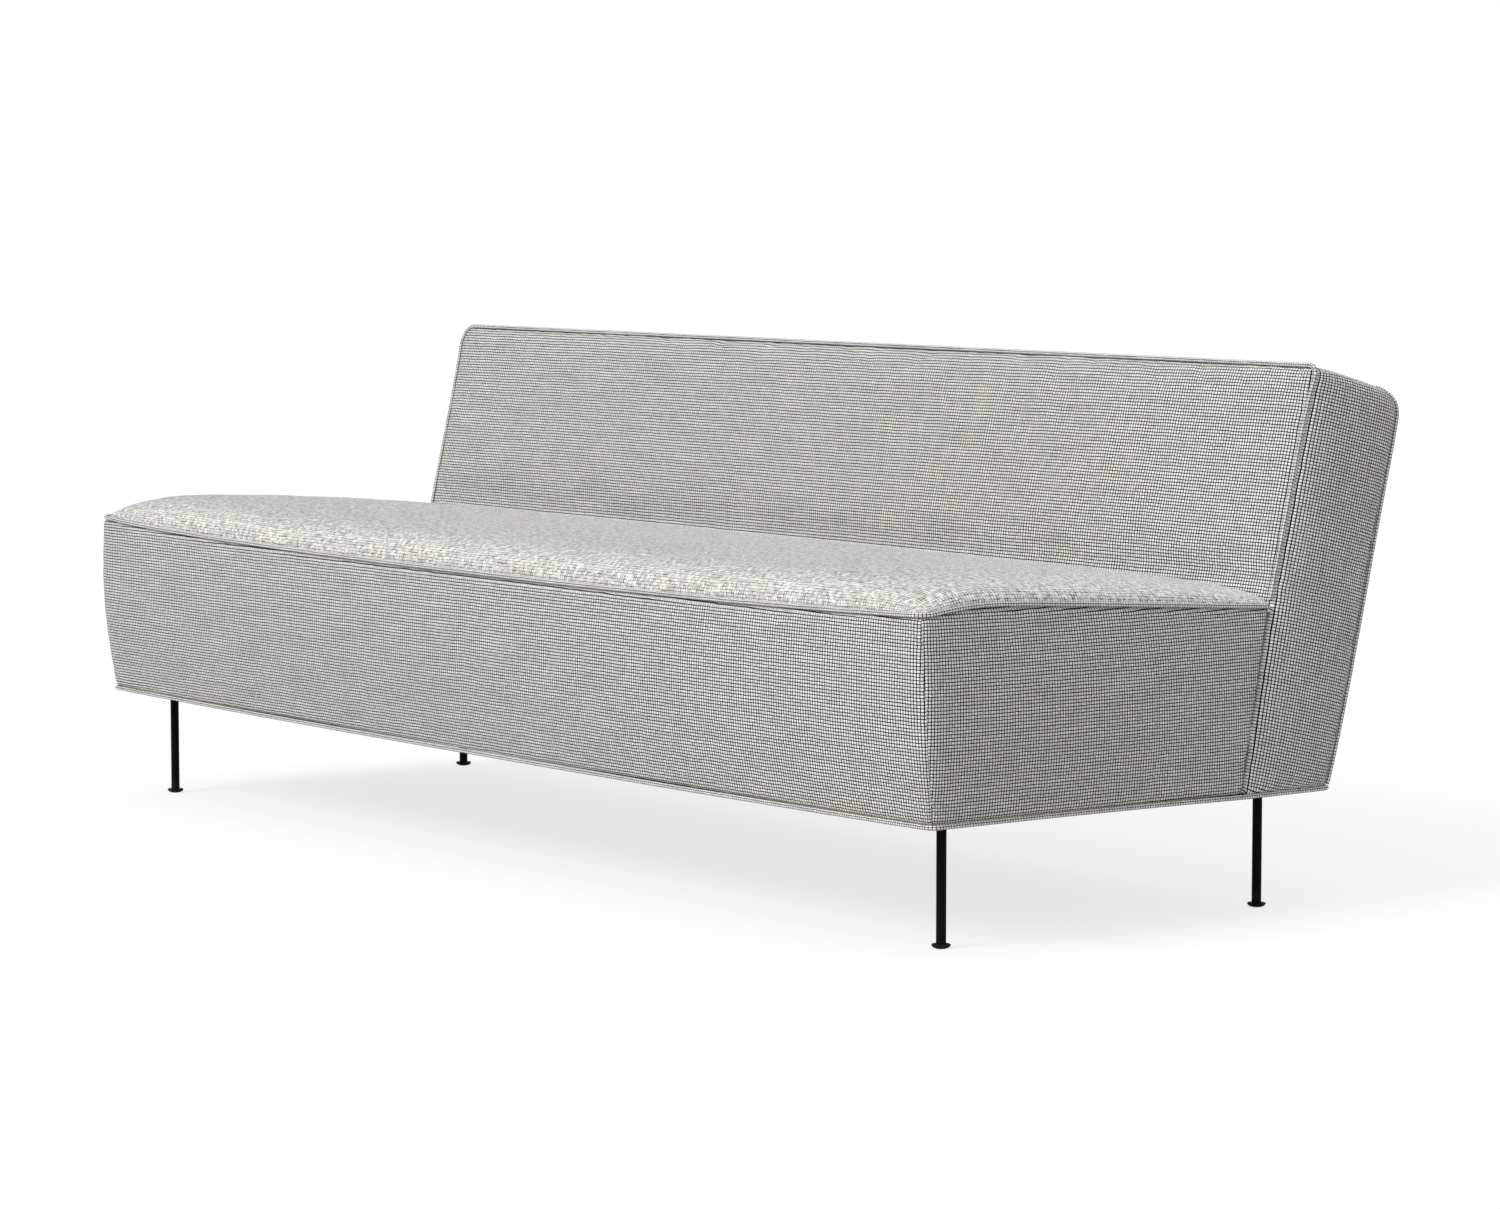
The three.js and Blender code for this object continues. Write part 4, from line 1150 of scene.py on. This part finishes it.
def strap_webbing(name):
    rib_pitch, stripe_pitch = 0.0025, 0.012
    dark_rib, pale_rib, stripe_red = (0.10, 0.09, 0.08, 1), (0.22, 0.20, 0.17, 1), (0.45, 0.12, 0.08, 1)
    material, place = object_finish(name, Specular_IOR_Level=0.2)
    split = add_node("SeparateXYZ", {0: place}).outputs
    ribs = maths("SINE", maths("MULTIPLY", split[2], 2 * math.pi / rib_pitch))
    stripes = maths("SINE", maths("MULTIPLY", split[0], 2 * math.pi / stripe_pitch))
    weft = noise(place, scale=400.0)["Fac"]
    color = mixed(remap(ribs, -1, 1), dark_rib, pale_rib)
    color = mixed(remap(stripes, 0.85, 0.95), color, stripe_red)
    height = maths("MULTIPLY_ADD", weft, 0.5, ribs)
    roughness = remap(weft, 0, 1, 0.7, 0.95)
    finish_surface(material, color, roughness, height, bump_depth=0.0003, bump_strength=0.6)
    return material


# %% [markdown]
# ## Steel
#
# The rods and glides are painted black, nearly matt, with the faint orange peel of a
# powder coat and a little dust low down. The plates and joining bars are bare rolled
# steel with a grey skin, and the springs are drawn wire, brighter along its length.

# %% Steel
dust_line_z = 0.03


def painted_steel(name):
    deep_black, soft_black = (0.0022, 0.0027, 0.0036, 1), (0.0036, 0.0043, 0.0056, 1)
    dust_grey = (0.03, 0.029, 0.027, 1)
    material, place = object_finish(name, Specular_IOR_Level=0.04)
    peel = noise(place, scale=700.0, detail=1.0)["Fac"]
    dust = noise(place, scale=60.0, detail=3.0)["Fac"]
    height_above = add_node("SeparateXYZ", {0: place}).outputs[2]
    low = remap(height_above, dust_line_z, 0.0)
    dusty = maths("MULTIPLY", low, remap(dust, 0.4, 0.8))
    color = mixed(remap(dust, *noise_range), deep_black, soft_black)
    color = mixed(dusty, color, dust_grey)
    roughness = remap(dust, *noise_range, 0.42, 0.55)
    finish_surface(material, color, roughness, peel, bump_depth=0.0001, bump_strength=0.4)
    return material


def bare_steel(name, dark, light, stretch, roughness):
    material, place = object_finish(name, stretch, Metallic=0.9)
    skin = noise(place, scale=35.0, detail=4.0)["Fac"]
    lines = noise(place, scale=500.0)["Fac"]
    color = mixed(remap(skin, 0.35, 0.65), dark, light)
    rough = remap(skin, *noise_range, roughness - 0.1, roughness + 0.1)
    finish_surface(material, color, rough, lines, bump_depth=0.0001, bump_strength=0.4)
    return material


# %% Finishes on the solids
felt_dark, felt_light = (0.16, 0.16, 0.15, 1), (0.40, 0.39, 0.37, 1)
plate_dark, plate_light = (0.20, 0.20, 0.21, 1), (0.36, 0.36, 0.37, 1)
wire_dark, wire_light = (0.24, 0.23, 0.22, 1), (0.45, 0.44, 0.42, 1)
dust_dark, dust_light = (0.008, 0.008, 0.009, 1), (0.03, 0.03, 0.032, 1)
grain_across, grain_along = 9.0, 0.6
grains = [[grain_along if axis == n else grain_across for n in range(3)] for axis in range(3)]
timber_ways = [timber(f"timber {axis}", grain) for axis, grain in enumerate(grains)]
finishes = {
    "foam": foam_block("seat foam"),
    "felt": fibre_cloth("needled felt", felt_dark, felt_light, scale=350.0),
    "webbing": strap_webbing("strap webbing"),
    "black_steel": painted_steel("black powder coat"),
    "plate_steel": bare_steel("rolled plate", plate_dark, plate_light, (0.4, 3.0, 1.0), roughness=0.5),
    "spring_steel": bare_steel("drawn wire", wire_dark, wire_light, (1.0, 0.5, 1.0), roughness=0.4),
    "weave": weave,
    "welt": cord_weave_painted_paler,
    "dust_cloth": fibre_cloth("dust cloth", dust_dark, dust_light, scale=500.0),
}


def long_axis(name):
    low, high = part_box(name)
    return max(range(3), key=lambda axis: (high - low)[axis])


for part in frame["record"]["subparts"]:
    name, slot = part["node"], part["material_slot"]
    solid = frame["nodes"][name]
    solid.data.materials.clear()
    solid.data.materials.append(timber_ways[long_axis(name)] if slot == "timber" else finishes[slot])
print(len(frame["nodes"]), "solids finished")

# %% [markdown]
# ## Light and floor
#
# Soft light from a white sky, brighter overhead, with one broad lamp at the front
# left, models the crown and leaves the right end in its own shade, as in a white photo
# studio. The floor and the sky are made white only for the camera and for reflections,
# through Light Path, so that the white around the sofa puts no extra light on it.

# %% Sky
horizon_strength = 0.42
overhead_extra = 0.75
world = bpy.data.worlds.new("studio")
bpy.context.scene.world = world
world.use_nodes = True


def seen_directly(tree):
    """1 for rays from the camera or off a shiny thing, else 0."""
    rays = add_node("LightPath", {}, tree).outputs
    shiny = maths("MAXIMUM", rays["Is Glossy Ray"], rays["Is Transmission Ray"])
    return maths("MAXIMUM", rays["Is Camera Ray"], shiny)


sky = world.node_tree.nodes["Background"]
sky.inputs["Color"].default_value = (1, 1, 1, 1)
direction = add_node("TexCoord", {}, world.node_tree).outputs["Generated"]
height = add_node("SeparateXYZ", {0: direction}).outputs[2]
height = maths("MULTIPLY", height, height)
sky_light = maths("MULTIPLY_ADD", height, overhead_extra, horizon_strength)
sky_seen = remap(seen_directly(world.node_tree), 0, 1, sky_light, 1.0)
world.node_tree.links.new(sky_seen, sky.inputs["Strength"])
bpy.context.scene.view_settings.view_transform = "Standard"

# %% Lamp
lamp_strength = 2.13
lamp_spread = math.radians(25)
lamp_data = bpy.data.lights.new("broad lamp", "SUN")
lamp_data.energy = lamp_strength
lamp_data.angle = lamp_spread
lamp = bpy.data.objects.new("broad lamp", lamp_data)
lamp_from = Vector((-0.06, -0.53, 0.42))
lamp.rotation_euler = (-lamp_from).to_track_quat("-Z", "Y").to_euler()
bpy.context.scene.collection.objects.link(lamp)

# %% Floor
floor_reach = 40.0
floor_grey = 0.62
floor_grey_seen = 0.22
floor_glow = 0.77
floor_corners = [(x * floor_reach, y * floor_reach, 0) for x, y in ((-1, -1), (1, -1), (1, 1), (-1, 1))]
floor = new_piece("floor", floor_corners, [(0, 1, 2, 3)], smooth=False)
paper = new_finish("floor paper", Specular_IOR_Level=0.0, Roughness=1.0, Emission_Color=(1, 1, 1, 1))
seen = seen_directly(paper.node_tree)
paper_color = mixed(seen, (floor_grey,) * 3 + (1,), (floor_grey_seen,) * 3 + (1,))
wire(paper, Base_Color=paper_color, Emission_Strength=maths("MULTIPLY", seen, floor_glow))
floor.data.materials.append(paper)
print("light from", [round(c, 2) for c in lamp_from.normalized()])

# %% [markdown]
# ## Everything in its place
#
# Each new piece says which finish of the record it wears, which solid it stands for,
# and that it goes with the sofa's one body.

# %% Join the pieces to the sofa
dressing = {
    "seat_cover": (seat_cover, "weave"),
    "back_cover": (back_cover, "weave"),
    "seat_top_welt": (seat_welt, "welt"),
    "back_front_welt": (front_welt, "welt"),
    "back_rear_welt": (rear_welt, "welt"),
    "base_welt": (foot_welt, "welt"),
    "dust_cover": (dust_cloth, "dust_cloth"),
}
for node, (piece, slot) in dressing.items():
    piece.data.materials.append(finishes[slot])
    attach(piece, "root")
    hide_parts(node)
staples.data.materials.append(finishes["plate_steel"])
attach(staples, "root")
